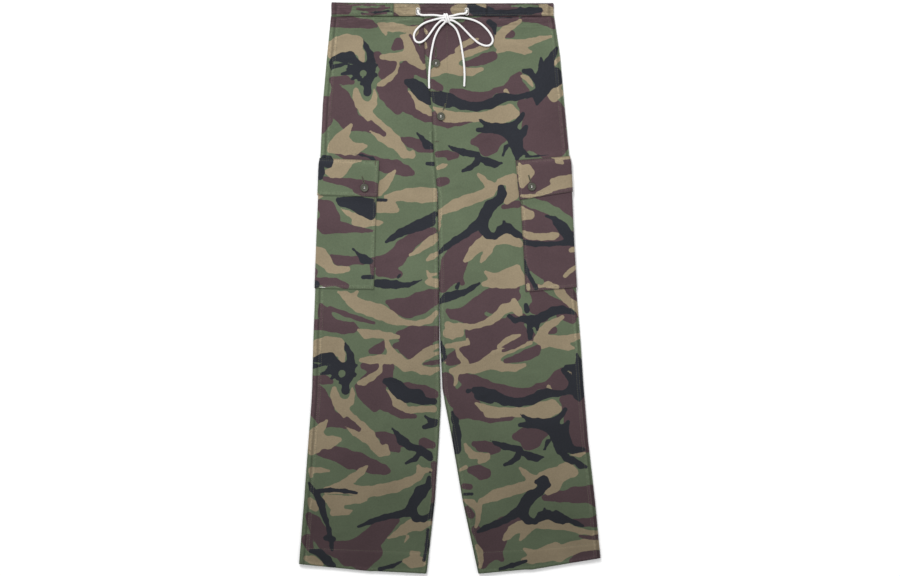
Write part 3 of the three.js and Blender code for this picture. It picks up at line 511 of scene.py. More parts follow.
def addLeg(side):
    pitch = garment["pitch"]
    rows = rowNumbers(side, 0, 10, pitch)[:, None]
    inner = np.concatenate([[0, 0.33, 0.66], spread([1, 1.12, 2], [12, 95], pitch)[:-1]])
    inner = np.sort(np.concatenate([inner, np.linspace(1.02, 1.1, 5)]))
    columns = np.concatenate([inner, spread([2, 3], [13], pitch)[:-1], spread([3, 3.88, 4], [88, 20], pitch)])
    columns = np.unique(np.concatenate([columns, np.linspace(3.9, 3.99, 6)]))
    frontColumns = columns.copy()
    frontColumns[-1] = 4 - 0.0006
    pieces[f"front_{side}"] = legSurface(side, rows, frontColumns[None])

    rows = rowNumbers(side, 0, 10, garment["backPitch"])[:, None]
    columns = np.concatenate([
        spread([4, 5], [9], 3)[:-1], spread([5, 6], [6], 1)[:-1],
        spread([6, 7, 8, 9, 10], [100, 13, 100, 3], garment["backPitch"]),
    ])
    pieces[f"back_{side}"] = legSurface(side, rows, columns[None])

    def onPocket(rows, columns, lift):
        middle, out, wall, flat = legSurface(side, rows, columns)
        return middle + out * lift[..., None], out, wall, flat

    columns = np.concatenate([spread([3, 4], [106], pitch)[:-1], spread([4, 5], [9], 3)[:-1],
                              spread([5, 6], [6], 1)[:-1], spread([6, 7], [100], garment["backPitch"])])[None]
    rows = rowNumbers(side, 3, 6, pitch)[:, None]
    layer = garment["layer"]
    pieces[f"pocket_{side}"] = onPocket(rows, columns, layer + bagBelly(rows, columns))
    rows = rowNumbers(side, 2, 4, pitch)[:, None]
    lift = layer * (1 + easedSteps(np.clip(rows - 2, 0, 1))) + bagBelly(rows, columns)
    middle, out, wall, flat = onPocket(rows, columns, lift)
    middle[:, 0, 0] -= legs[side]["outward"] * garment["flapLap"]
    flat[:, 0, 0] -= legs[side]["outward"] * garment["flapLap"]
    pieces[f"flap_{side}"] = (middle, out, wall, flat)


# The waistband: three strips in front and one at the back
band = {
    "foot": 509.5, "left": -222.0, "right": 194.6, "cutLeft": -105.2, "cutRight": 69.4, "seamInset": 8.6,
    "lift": 2.9, "foldLift": 3.4, "reach": 40, "thinFrom": 0.9, "edge": 0.4, "gather": 0.22,
    # x, then the heights of the front's and the back's top edge
    "top": np.array([
        [195, 533.4, 533.8], [69, 532.8, 533.6], [-10, 531.4, 533.6], [-60, 531.8, 533.8],
        [-105, 533.4, 534.2], [-190, 534.4, 534.8], [-222, 535.2, 535.2],
    ]),
    "slots": [[-59.5, 518.0], [31.9, 517.8]], "slotWidth": 5.4, "slotLength": 11.4,
    "slotClear": 5.2, "cutFoot": 2.3, "cutTop": 12.0,
}


def bandSurface(x, t, face):
    # x across, t from the foot to the top edge; upright gathers fade to both long edges
    x, t = np.broadcast_arrays(np.asarray(x, float), np.asarray(t, float))
    y = mix(band["foot"], tableAt(band["top"], 1 if face > 0 else 2, x), t)
    toSide = np.minimum(x - band["left"], band["right"] - x)
    loft = mix(band["lift"], band["foldLift"], ease(1 - (toSide - band["seamInset"]) / band["reach"]))
    gather = band["gather"] * pucker(x * 0.8, 0.7) * np.sin(np.pi * np.clip(t, 0, 1)) * ease((toSide - 9) / 8)
    z = garment["bandWall"] / 2 + (loft + gather if face > 0 else 0)
    thinned = np.clip((t - band["thinFrom"]) / (1 - band["thinFrom"]), 0, 1)
    wall = garment["bandWall"] * mix(1, band["edge"], thinned)
    zero = np.zeros_like(x)
    out = np.stack([zero, zero, zero + face], -1)
    return np.stack([x, y, zero + z], -1), out, wall, np.stack([x, y], -1)


bandRows = np.concatenate([np.linspace(0, 0.9, 9, endpoint=False), np.linspace(0.9, 1, 4)])[:, None]


def addBand():
    gap = 0.04
    ends = {
        "waistband_front_left": (band["left"] + band["seamInset"], band["cutLeft"] - gap),
        "waistband_front_centre": (band["cutLeft"] + gap, band["cutRight"] - gap),
        "waistband_front_right": (band["cutRight"] + gap, band["right"] - band["seamInset"]),
    }
    for name, (low, high) in ends.items():
        x = np.linspace(low, high, math.ceil((high - low) / 2.2))
        pieces[name] = bandSurface(x[None], bandRows, 1)

    # the back strip: down round the left fold, along the floor, and up round the right one
    radius = band["foldLift"] / 2
    wall = garment["bandWall"]

    def arc(outward, turn):
        edge = band["left"] if outward < 0 else band["right"]
        centre = edge - outward * (wall / 2 + radius)
        foot, _, thick, _ = bandSurface(np.full_like(turn, edge), bandRows, -1)
        out = np.stack(np.broadcast_arrays(outward * np.cos(turn), 0 * bandRows, np.sin(turn)), -1)
        middle = np.stack(np.broadcast_arrays(centre, foot[..., 1], wall / 2 + radius), -1) + out * radius
        flat = np.stack(np.broadcast_arrays(edge + outward * radius * (np.pi / 2 - turn), foot[..., 1]), -1)
        return middle, out, thick, flat

    down = np.linspace(np.pi / 2, -np.pi / 2, 9)[None]
    seams = [bandSurface(np.array([[x]]), bandRows, 1)
             for x in (band["left"] + band["seamInset"] - gap, band["right"] - band["seamInset"] + gap)]
    low, high = band["left"] + wall / 2 + radius, band["right"] - wall / 2 - radius
    floor = bandSurface(np.linspace(low, high, 76)[None, 1:-1], bandRows, -1)
    parts = [seams[0], arc(-1, down), floor, arc(1, down[:, ::-1]), seams[1]]
    middle, out, wall, flat = (np.concatenate([part[k] for part in parts], 1) for k in range(4))
    flat[..., 0] = middle[0, 0, 0] - lengthAlong(middle[0])  # the strip rolled out from its left seam
    pieces["waistband_back"] = (middle, out, wall, flat)


for side in legs:
    addLeg(side)
addBand()
print("cloth shapes ready")


# Woodland camouflage as strokes laid one by one. Places are in the photo's pixels, and each spot of a
#  stroke is its x, y and half width. The ground is green, with brown, tan and black on it in turn.
pixel = {"size": 1.874, "centreX": 449.75, "centreY": 287.9, "soften": 0.9, "reach": 16,
         "trim": {"black": 0.75, "tan": 0.5, "brown": 0.2}}

chart = {
    "leftLeg": {
        "brown": """
[331,22,5.5;350,22,6;370,24,4.5;376,26,2] [394,48,3;399,44,6;404,44,4.5] [377,56,5;384,64,6;390,68,6;384,74,6]
[408,66,7;402,76,12;393,86,12;400,98,10;410,106,8;421,113,5;431,117,3]
[335,86,4;340,98,10;344,110,13;350,121,10;362,124,7;372,128,5;384,134,3] [326,105,9;323,120,9;322,130,4]
[332,80,3.5;345,80,4.5;352,82,3] [424,58,3] [380,88,4;384,95,5;390,102,5;398,110,5]
[413,70,4;422,72,5;430,77,4] [394,64,4;398,72,4]
[424,30,5;426,45,5;427,58,5;429,70,5] [402,139,2.5;410,142,5;420,146,6;431,148,5]
[381,164,3;386,166,6;396,167,7;406,171,5.5;412,173,3] [337,152,3;350,156,6;362,158,5;372,162,6;386,166,7]
[378,262,6;388,263,9;396,258,9;404,248,9;413,240,7;424,234,5;433,231,4] [380,272,5;392,272,6;399,274,4]
[388,302,3;398,306,8;408,308,10;420,303,11;431,298,9;436,296,7]
[321,306,3;324,313,6;330,324,7;343,329,5;353,330,3]
[330,308,2.5;345,314,2.5;360,319,2.5;374,323,1.5] [413,30,5;425,33,9;440,33,12;455,38,9]
[436,89,4;446,93,6;456,96,5] [416,115,3;426,119,3;439,120,2.5]""",
        "finger": "[371,122,2;377,129,3;384,134,2.6] [410,35,1.4;415,41,2.2;418,49,2.2;422,57,2;424,62,1.8]",
        "tan": """
[337,42,6;347,41,7;357,42,7] [334,51,6;346,48,6;357,49,6] [361,53,4.5;362,60,3.5] [356,63,1.5]
[330,44,3;331,55,4]
[377,23,1.2;383,26,4;392,27,5;402,28,4;412,30,3.5] [384,31,3;386,34,2]
[401,36,2;406,38,4;409,42,5.5;411,50,7;414,58,7;421,64,5;423,67,3] [413,55,6;400,56.5,4.5;390,57,4;382,57,3.2]
[398,60,1.6;398,66,1.5;396,72,2;390,78,3;383,83,3.4;379,84.5,2.6] [409,38,4;415,31,4;417,28,3]
[421,62,5;431,63,5;439,57,6;445,53,4;451,47,2;458,45,1.5] [445,56,4;453,53.5,3;460,50,2.5]
[441,66,5;449,70,4;458,68,1.8] [356,90,3;357,97,4.5;360,104,5;367,108,6;373,104,4;375,96,2.5;374,89,1.5]
[364,110,6;370,117,5;378,124,5;386,132,6;394,141,7;401,149,5;404,154,4.5;412,155,3.6;412.5,152,2.5]
[370,131,1;380,138,3;390,143,5]
[408.5,91,1.2;414,96,2.5;419,103,4;425,108,4.5;430,113,3;435,113,3.5;446,112,3.5;457,112,4]
[418,107,3;424,110,3] [351,125,2;347,131,4;341,138,6;334,145,5.5;330,150,3.5]
[345,140,5;352,146,4;362,146,3;366,146,2]
[334,150,4;345,150,5;355,152,3.5;361,148,3] [379,201,2;381,206,6;391,207,6.5;397,210,3]
[386,197,2.5;396,196,5;408,195,7;422,195,8;434,195,7.5] [395,171,2;390,177,4;384,185,5.5;379,193,4]
[334,173,5;344,172,3;352,172,1.5] [372,222.5,3.4;378,223,3.1;382,222.5,2]
[347,196,5;352,206,8;366,204,8;380,206,7]
[410,255,1.8;418,251,3;425,245,4;431,241,5;436,237,4] [427,260,1.8;432,257,3;437,254,3]
[427,271,1.5;429,275,2;436,274,2]
[426,282,2;430,282,4;436,283,5]
[338,292,1.5;345,295,4;352,301,6;360,306,7;370,309,7.5;380,312,8;390,317,7;397,321,4.5;408,323,3;420,323,3;430,320,3.5;436,313,3]
[357,292,2;352,297,4]""",
        "black": """
[363.5,40,1.5;366,46,3;370,54,4;371,62,4.5;371,70,4.5;369,78,5;367,84,4;367.5,92,5]
[333,59,3;342,57,5;350,57,6;355,61,4;362,65,3;368,65,4] [335,67,3.5;345,66,3;355,69,3.5;365,70,4;377,65,2]
[331,63,3;332,70,2] [342,74,2;350,72,3.2;358,74,3;364,74,3] [369,76,3;376,75,2.5] [352,79,2;356,78,3;362,80,2]
[361,84,2;366,82,4] [407,82,4;413,84,6;420,88,6.5;426,92,5] [414,90,4;422,97,4.5;429,101,5]
[420,93,6;430,96,6;440,98,8] [433,99,6;445,103,4.5;457,104,4]
[417,133,1.8;422,138,2.5;427,145,4.5;433,147,3.5]
[386,242,2;392,238,3.5;400,233,4.5;410,229,5;420,225,6;431,222,5.5]
[402,231,2.6;415,226,4;427,221,5.4;435,214,3.6]
[377,283.5,4.8;385,284,5;396,284.5,4.8;402,285,3;408,285,3;414,283,2;422,280,1.5] [398,277,2;400,275,2]
[377,200,2.4;386,200,2.4] [341,190,3;355,189,3;366,190,2.8]""",
        "hole": "[363,73.5,3.5] [334,71.5,2.4;340,70,2.2;346,66.6,1.6] [346,78.5,1.6;351,76,1.4] [356,80.5,1.5;353,83,1.4]",
    },
    # the left knee, where the repeat is drawn out thinner
    "leftKnee": {
        "brown": """
[400,335,5;412,335,9;425,335,9;436,333,7;412,344,6;422,344,4] [404,348,6;412,353,7;421,350,6;428,346,5]
[371,351,3;379,349,5;384,344,3.5] [395,346,3;403,345,5]
[424,364,1.2;432,363,2;439,362,2.6] [364,366,4;372,368,5;378,367,4] [398,385,3;408,387,4.5;418,390,4]""",
        "tan": """
[358,330,1.5;366,334,5;378,334,4.2;390,336,3.5;398,337,2.6] [386,338,2.2;388,346,3;392,353,4.5;398,360,6]
[361,360,2.6;370,360,4.2;380,359,4.6;390,360,5] [381,363,2;380,371,2.6;372,377,3.6;364,382,3.6;359,383,2.6]
[398,360,6;406,366,6;414,364,6;420,358,5;426,352,4;432,348,2.8;438,346,2.8]
[412,366,5;422,370,4.6;430,371,4.2;438,369,2.6]
[420,358,3.6;428,356,3;438,353,2.2]""",
        "slit": "[424,363.5,1;431,363,1.6;439,362,2]",
        "black": """
[427,163.5,2.6;433,164,3] [352,154,1;362,155,1.5;372,158,2;376,161.5,1.8] [324,157.5,3.4;330,158,3]""",
    },
    # the lowest part of the left leg, which the repeat doesn't reach
    "leftHem": {
        "brown": """
[316,451,3;326,453,5;338,456,6;350,461,8;362,463,8;374,467,7;384,470,5;388,471,3] [338,450,3;345,452,4]
[309,516,4;314,522,7;319,532,8;325,542,8;330,550,5] [307,540,6;310,548,4]
[395,520,5;386,526,8;378,533,10;370,541,11;360,549,12;348,556,10;340,552,6;362,562,9;374,552,9]
[326,546,6;336,549,8;350,548,8] [434,464,3.4;435,482,3.4;435,500,3.4;434,520,3.4]
[382,443,3;390,446,5;398,450,3] [424,443,6;432,445,4]""",
        "tan": """
[312,444,5;322,443,5;332,440,4;340,439,2] [311,452,3.5;318,450,3] [368,440,3;374,447,4;380,453,4;388,453,3]
[311,470,3.5;320,470,3;329,471,1.5] [311,476,2.5] [367,466.5,2;361,472,4;353,478,4.5;345,483,4;336,485,2]
[326,490,4;336,489,5;350,489,5;365,492,6;380,490,6;395,487,6;408,482,5;418,477,4;423,472,3]
[326,498,4;336,503,8;350,504,8;362,500,6] [348,512,3.5;333,513,3.5]
[418,466,2;420,470,3.5;427,470,2.5;431,470,2]
[388,538,1.5;395,535,3;403,530,5;412,525,6;420,526,5;431,523,2.5] [404,543,1;408,537,2]
[404,561,2.5;412,562,6;421,562,5;412,553,2.5;419,553,2] [310,500,3;313,505,5;316,509,3]
[306,558,3;313,560,4.5;321,564,3]""",
        "cut": "[346,507,2;356,507,3;368,507,5;376,505,7] [423,501,4;421,507,4]",
        "black": """
[425,416,2;430,420,2.5;436,421,3] [424,427,3;434,424,4]
[308.5,482,1.8;312,489,3;317,495,3.5;321,503,4.5;323,512,3.6;326,520,3;329,530,2.8;331,540,2.6;332,549,2.2]
[319,491,3;330,490,2.8;345,491,2.6;357,493,2.2] [326,538,3.5;334,539,3] [330,546,1.5;332,551,1]
[311,551,3;320,553,4.5;327,560,5;333,566,4]
[429,478,3;428,486,4;421,492,7;415,501,6;408,512,5;397,515,4;385,517,3.5;370,522,3;358,527,2]
[412,509,5;416,518,4.5;424,519,3.5;432,515,3.5;433,505,3] [430,472,2]
[402,442,4;410,447,4;420,449,4;428,455,4.5;430,458,4] [420,452,3;415,459,3;406,463,2.4]
[428,530,2.6;427,545,2.6;424,560,2.6] [402,561,1.5;392,566,2.5;380,569,3]""",
    },
    "rightLeg": {
        "brown": """
[427,22,4;429,36,6;430,50,6;437,58,6] [436,46,5;438,34,5] [433,22,5;445,30,9;450,42,10;446,54,9;438,62,5]
[460,30,8;472,34,8;482,40,6;470,24,6;480,22,5] [462,42,6]
[466,64,3;476,62,4;484,59,5.5;493,56,5] [499,24,3;502,22,4] [505,35,3.4;511,34,3.6;508,31,2.2]
[535,18,3;545,21,4;553,25,4]
[520,74,3;516,80,6;511,88,7;520,88,6;526,91,4] [452,91,3;462,94,5;474,98,6;486,97,5;493,92,3]
[495,90,3;503,90,4]
[432,84,5;440,88,4] [522,104,5;530,112,6;528,124,6;527,136,6;524,147,6]
[530,100,4;540,106,10;552,110,11;560,116,9;528,112,8;548,98,5;524,104,4]
[532,118,8;545,118,10;558,120,10;535,132,7;548,134,12;560,136,8;533,146,5;545,150,8;558,150,7;566,145,5]
[474,142,4;483,141,8;493,139,8;503,138,4;486,150,6;493,148,6] [435,118,7;448,124,4;460,122,3.5;472,120.5,2]
[438,154,3.5;447,154,3.5;456,155,3;449,159,2] [440,182,5;446,181,4] [503,207,2.5;510,205,3;518,204,4]
[482,234,4;474,238,6;465,243,9;458,252,10;452,264,11;448,277,9;443,288,5] [460,262,8;456,275,7;462,283,3]
[516,288,4;500,292,8;490,298,9;478,306,9;465,315,8;453,314,5;448,311,3] [480,318,6;470,321,5]
[505,297,7;515,296,6] [492,308,6;500,303,5] [533,292,4;540,298,8;550,303,6;535,308,6;545,314,5]
[560,315,4;572,319,5] [568,290,5;575,298,4]""",
        "tan": """
[520,21,2.5;512,26,3.5;505,30,4;500,36,5;499,43,6] [500,44,6;510,45,6;520,45,5.5;530,42,4;540,39,3;551,36.5,2]
[515,48,5;525,51,3.5;531,52,2] [503,49,3.5;497,52,2]
[431,74,4;437,71,5;445,66,6;453,60,6;460,56,4;470,53,3.5;480,49,3;488,47,2.5]
[457,50,2.6;464,44.5,3;471,41,2.8;478,39,1.6] [424,29,1.6;427,33,2] [425,43,2;426,48,2]
[450,67,7;460,71,5;472,72,4;482,69,2.5] [522,76,2.4;527,78,2.4;530,82,2.1;532.5,86,1.8]
[506,91,2.8;508,95,2.8]
[562,83,1.5;557,89,4;552,94,5;554,98,4;562,93,3] [559,59,2.6;553.5,64,2.2;550,68,1.7]
[434,108,2;441,112,4;450,116,5;462,117,5;475,117,5;487,117,5.5;500,113,7;510,110,6;516,114,4]
[446,118,5;456,119,4]
[490,122,5;500,120,5;508,118,4;514,116,3] [518,112,1.5] [438,168,2.5;443,166,2.5;447,164.5,1.8]
[478,174,2;483,179,3;488,184,4;494,187,5] [443,211,4;455,205,6;468,200,6;480,196,5.5;490,192,6]
[500,182,4;508,180,5;514,178,5] [512,186,6;512,194,7;507,200,5]
[440,212,3;439,218,2.5;439,225,1.8;438.5,232,1]
[485,238,4;480,245,6;474,250,5;469,257,4;465,261,2.5] [490,244,6;488,251,4;484,257,3;481,262,1.8]
[498,240,5;505,238,6;515,241,5;520,244,4] [502,235,2.5;508,234,2] [474,246,2]
[485,272,2;490,275,3;497,276,3;508,272,4;517,268,4] [484,284,3;492,283,5;504,279,7;516,276,8;520,280,6]
[500,285,4;515,285,4] [514,300,2.5;514,305,5;518,311,4.5;521,316,2]
[512,307,5;504,309,5;497,316,4.5;490,321,4;480,325,3;468,327,2.5;459,326,4]
[448,325,4;455,330,6;460,333,4;448,333,5;452,336,4]
[538,284,2.5;545,285,4;556,285,4;560,292,5;566,299,4;572,304,4.5;578,308,4;580,316,2.5]
[527,285,2;529,291,1.8]
[558,322,1.5;550,326,2.5;542,333,3;537,339,4]""",
        "black": """
[489,22,3.5;494,26,3.5;495,34,2]
[557,48,2.5;553,55,4;549,62,5;550,72,6;548,82,8;543,90,7;538,98,5;537,104,2.5]
[541,58,2;541,66,3;540,74,4;541,84,6] [557,72,5;560,80,4;556,84,4] [524,71,3;530,72,4;534,78,3;537,84,3]
[538,92,5;528,95,3.5;516,98,3.5;505,97,5;497,97,4]
[432,94,4;440,95,4.5;450,99,6;462,105,5.5;476,107,5;490,104,5.5;500,99,5.5] [436,100,5;448,104,5]
[523,114,3;520,119,3;514,125,4;505,127,4;496,126,3.5;487,125,3;481,121,2;478,119,1]
[478,130,3;486,130,3.5;500,130,5;512,134,8;516,143,7;518,152,6;517,158,3] [526,127,3;523,133,4;519,139,4]
[506,147,3;503,155,1.5;501,156,1] [524,152,3;528,155,2] [548,155,1.2;538,156,1.5;526,157,2]
[448,145.5,1.5;454,149,2.5;463,152,4;472,154,3.5;478,154,3] [478,157,3;476,163,3.5;470,168,3;463,171,2.5]
[480,158,3;488,162,4.5;495,164,4;502,163,1.8]
[501,188,4.4;502,194,5;499,200,5;490,206,6.4;486,213,6.4;482,222,6.2;473,228,5] [505,194,2]
[482,222,6;484,230,5;488,235,4.5;495,237,3;501,230,5;508,228,5;517,234,4;523,237,3] [504,227,2.6;504,221,1.8]
[476,226,5;466,234,4;456,240,4;446,247,3.5;439,253,2.5]
[440,302,3;447,297,5;455,295,4.5;463,293,3.5;472,288,3;480,283,2] [457,287,3;459,283,2]
[509,316,3;515,321,3;522,318,3] [527,310,4;526,305,3]
[524,319,4;533,321,5;543,317,5;553,311,5;562,309,4;570,311,3;574,313,2.5] [529,325,3;530,332,3.5;530,338,3]
[500,18,1.5;530,17,1]""",
    },
    "rightMargin": {
        "brown": """
[446,380,8;450,392,6;456,400,8;470,405,8;460,412,7;475,414,5;495,417,4;510,418,3]
[450,360,6;475,350,12;490,345,12;470,358,6] [470,380,6;485,384,5] [474,444,3;484,446,5;492,446,4]
[471,470,4;478,471,6;487,472,4] [464,486,3;470,487,3] [467,508,2.5;471,515,4]
[476,530,5;484,540,8] [505,524,7;515,519,6;500,533,7;494,541,7]
[460,55,4;470,48,4;480,44,4;490,38,5] [484,24,5;488,32,5;486,42,5] [500,21,5;508,20,4;516,18,3]
[523,19,3;530,18,4;545,19,5;554,24,5] [486,18,4;494,19,4]
[462,376,6;470,384,6;464,393,7;470,401,8;478,410,6] [474,384,4;488,386,4.4;502,389,4]
[500,345,7;515,341,7;530,336,6]
[545,302,6;556,304,5;566,306,4]""",
        "finger": "[506,361,2.8;518,358,3.8;530,353,4.2;538,348,3.4] [503,351,1.6;514,347,1.7;525,342,1.5]",
        "tan": """
[447,346,3;457,345,3;466,343,3] [457,350,2;460,356,3;465,362,4] [452,371,3.5;462,369,5;475,368,5;486,365,5]
[456,375,3;456,381,1.8;455,385,2] [465,444,2;468,450,3;472,455,4;480,456,3.5;488,455,2.5]
[460,470,2;466,467,2.5]
[464,500,2;472,503,4;478,510,3;478,520,2.5;476,527,2]
[445,362.5,1.5] [477,546,2.8;480,552,3.2;481,560,2.6;480,567,2.2]""",
        "black": "[441,342,2;443,350,2.8;445,357,2.4;442,361,2.2] [468,391,3.5] [452,412,2;455,420,4;457,435,5;457,450,5] [464,494,2;472,494,2.5]",
    },
    # the outer side of the right leg, whose print higher up lies under the bag
    "rightShin": {
        "brown": """
[572,432,8;580,440,7;579,450,5] [545,499,2;560,497,5;575,495,8;592,494,9;598,500,8]
[572,520.5,2;583,522.5,4;594,522,5;600,517,4] [580,536,1.5;590,538,2.6;600,537,3.2]
[572,561,3;580,557,6;590,556,7;600,556,6]""",
        "tan": """
[571,455,1.6;580,455,2.2;585,453,1.6] [562,468,5;568,468,6;573,472,5;566,475,5]
[548,485,6;556,482,6;561,478,5]
[556,524,4.5;568,527,3.8;580,531,3.3;592,533,2.6;600,532,2] [560,553,8;572,548,7;584,545,6;600,545,5.5]""",
        "black": """
[500,569,2.4;512,565.5,3;526,561,2.4] [537,482,3.5;544,480,4.6;549,485,3]
[563,430,6;567,442,5;573,450,4;582,449,3] [573,459,3;580,465,3.8;586,467,2.4]
[561,450,4;566,458,3.8;572,462,3.4]
[556,513,3.8;566,519,3.4;576,523,3;583,526,2.2] [577,354,2;579,364,4;579,375,5;576,385,6;577,396,4]
[563,370,3;568,376,3;574,382,5;571,388,4;576,392,5]""",
    },
    "leftBag": {
        "brown": """
[320,204,5;327,208,8;330,218,10;326,226,8;345,228,5;355,229,3]
[320,223,4;335,225,4;348,228,3;362,230,2.5;373,231,1.5]
[331,256,2;338,260,5;347,261,5;357,260,4;363,262,3] [374,262,5;375,272,5]
[317,281,3.5;325,282,4.5;335,282,4;346,286,3.5]""",
        "tan": """
[341,209,1.2;348,213,2.5;356,217,4;364,221,4.5;374,222,4] [354,223,3;364,224,3.5;376,222,3]
[318,197,2;325,196,1]
[316,249,3;320,254,7;326,261,6;330,268,5;336,270,4;343,269.5,3.5;348,269,3] [317,258,5;324,264,4]""",
        "black": """
[338,200,3;342,202,5;352,204,6;362,209,6.5;370,214,5.5] [345,201,4.5;358,202,6;370,204,6;373,211,5]
[358,208,5;371,217,4]
[353,249,1.8;358,254,2;364,259,5;370,261,4] [363,277,3;370,277,2.6;375,277,2.6]""",
    },
    "leftFlap": {
        "brown": """
[325,179,2.5;338,181,3.5;350,183,4.5;362,187,7;372,189,8] [357,190,4;366,194,4;375,193,5]""",
        "tan": """
[330,158,4;340,158,4;350,160,4;360,160,2.5] [335,168,6;343,168,6;349,166,3]
[327,172,3;332,174,4;340,174,4;344,172,3]""",
        "black": """
[323,160,6;328,162,6;329,165,4] [319,168,5;321,172,4.5;320,177,4]""",
    },
    "rightBag": {
        "ground": "brown",
        "cut": "[522,200,4;532,203,5;545,207,5;556,213,5;566,220,5;571,226,5] [530,273,2;535,279,3.5;541,282,3]",
        "tan": """
[521,207,2;524,213,5;530,215,4.5;522,217,4] [523,233,3.5;530,236,4;542,237,3.8;553,236,4;557,235,3]
[571,250,3;575,249,3] [565,276,2.5;570,271,2.5;575,267,2.5] [573,241,1.5]
[540,285.5,2.8;548,284.5,3.4;557,287,3]
[528,285,2.4;528.5,289,2.2]""",
        "black": """
[546,216,2;555,219,3;563,226,5] [556,223,4;564,230,6;570,238,6;572,243,3]
[522,242,3.5;535,244,3.5;550,244,3;565,243,3;574,244,2] [523,262,4;526,270,3;531,279,2.5;536,288,3]""",
    },
    "rightFlap": {
        "ground": "brown",
        "tan": """
[519,163,1.5;520,170,5;527,170,5.5;531,173,3.5;524,179,6;522,186,3]
[552,181,3;560,182,6;570,181,6.5;554,187,4;546,190,2.6;538,193,1.8]
[521,196,2;530,196.5,2;540,194.5,1.8;550,191,2.4]
[553,157,2.4;561,157,3.4;570,156,3.5] [558,161,3.4;562,163,2.4]""",
    },
    "bandLeft": {
        "brown": """
[330,8,7;346,9,6] [352,5,1;368,4.6,.9;384,5.6,1] [356,9,1;370,10,1.7;380,9,1.3;390,7.5,.9]
[362,14,1.2;372,14.6,1;386,13,1.2]""",
        "black": "[360,13,.9;375,12.6,1.6;388,11,1.6;392,12,1.4] [368,7,.6;380,7.6,.9]",
    },
    "bandCentre": {
        "ground": "brown",
        "tan": "[396,8,5;405,10,8;414,9,7] [455,10,5;463,8,5] [477,5,2.5;484,6,2.5;482,9,1.5]",
        "black": "[472,8,6;478,12,6;484,12,5]",
    },
    "bandRight": {
        "ground": "brown",
        "cut": "[512,6,1;526,5.6,1.6;538,6.4,1.2]",
        "tan": "[539,5.5,2;545,7,3.4;551,12,4.6;556,14,5] [544,14,3;552,15,4]",
        "black": "[486,13,4;500,13,3.6;515,12.6,3.8;530,11,4.4;540,10,3.4] [520,8.6,2.6] [488,8,2.4;492,9,2]",
    },
}
# How the repeat moves down the leg: height of a spot, then its step across and down
repeat = {
    "leftLeg": {"steps": [[30, -18, 303], [92, -22, 298.5], [200, -30, 290.5], [242, -29, 286], [285, -29, 280]],
                 "lowest": 458, "once": [371, 20, 462, 74]},
    "rightLeg": {"steps": [[94, 42.5, 296], [185, 41.4, 293.4], [238, 40, 285], [252, 39, 279], [284, 39.5, 276]],
                 "lowest": 558, "once": [0, 0, 0, 0]},
}


def readStrokes(text):
    # Each stroke becomes rows of x, y, half width; a lone spot is doubled to make a short line
    strokes = [part.strip(" \n[") for part in text.split("]")]
    spots = [np.array([[float(value) for value in spot.split(",")] for spot in stroke.split(";")])
             for stroke in strokes if stroke]
    return [np.repeat(stroke, 2, 0) if len(stroke) == 1 else stroke for stroke in spots]


def segments(strokes):
    # Two ends of each straight part: x, y, half width, twice
    if not strokes:
        return np.zeros((0, 6))
    return np.concatenate([np.concatenate([stroke[:-1], stroke[1:]], 1) for stroke in strokes])


def repeated(name, colour):
    strokes = readStrokes(chart[name].get(colour, ""))
    steps = np.array(repeat[name]["steps"], float)
    copies = []
    for stroke in strokes:
        moved = stroke.copy()
        moved[:, 0] += np.interp(stroke[:, 1], steps[:, 0], steps[:, 1])
        moved[:, 1] += np.interp(stroke[:, 1], steps[:, 0], steps[:, 2])
        x, y = stroke[:, 0].mean(), stroke[:, 1].mean()
        left, top, right, foot = repeat[name]["once"]
        once = left < x < right and top < y < foot and colour != "black"
        if moved[:, 1].mean() < repeat[name]["lowest"] and not once:
            copies.append(moved)
    return strokes + copies


def strokeDistance(parts, px, py):
    # Pixels from each place to the nearest stroke's edge, below 0 inside it. The nearest is a
    # soft minimum, so that strokes run together where they meet.
    far = float(pixel["reach"])
    found = np.full(px.shape, far)
    if not len(parts):
        return found
    margin = far + parts[:, [2, 5]].max()
    flatX, flatY, flatFound = px.ravel(), py.ravel(), found.ravel()
    for block in np.array_split(np.arange(flatX.size), max(1, flatX.size // 1500)):
        x, y = flatX[block], flatY[block]
        close = ((np.maximum(parts[:, 1], parts[:, 4]) > y.min() - margin)
                 & (np.minimum(parts[:, 1], parts[:, 4]) < y.max() + margin))
        part = parts[close]
        if not len(part):
            continue
        runX, runY = part[:, 3] - part[:, 0], part[:, 4] - part[:, 1]
        toX, toY = x[:, None] - part[None, :, 0], y[:, None] - part[None, :, 1]
        along = np.clip((toX * runX + toY * runY) / np.maximum(runX**2 + runY**2, 1e-6), 0, 1)
        gap = np.hypot(toX - along * runX, toY - along * runY) - mix(part[:, 2], part[:, 5], along)
        soft = -pixel["soften"] * np.log(np.exp(-gap / pixel["soften"]).sum(1) + 1e-9)
        flatFound[block] = np.minimum(soft, far)
    return flatFound.reshape(px.shape)


def legStrokes(side):
    names = {"left": ("leftLeg", "leftKnee", "leftHem"), "right": ("rightLeg", "rightMargin", "rightShin")}[side]
    own = lambda colour: [stroke for name in names[1:] for stroke in readStrokes(chart[name].get(colour, ""))]
    strokes = {colour: segments(repeated(names[0], colour) + own(colour))
               for colour in ("brown", "tan", "black", "finger", "hole", "cut")}
    strokes["finger"] = np.concatenate([strokes["finger"], segments(own("slit"))])
    return strokes


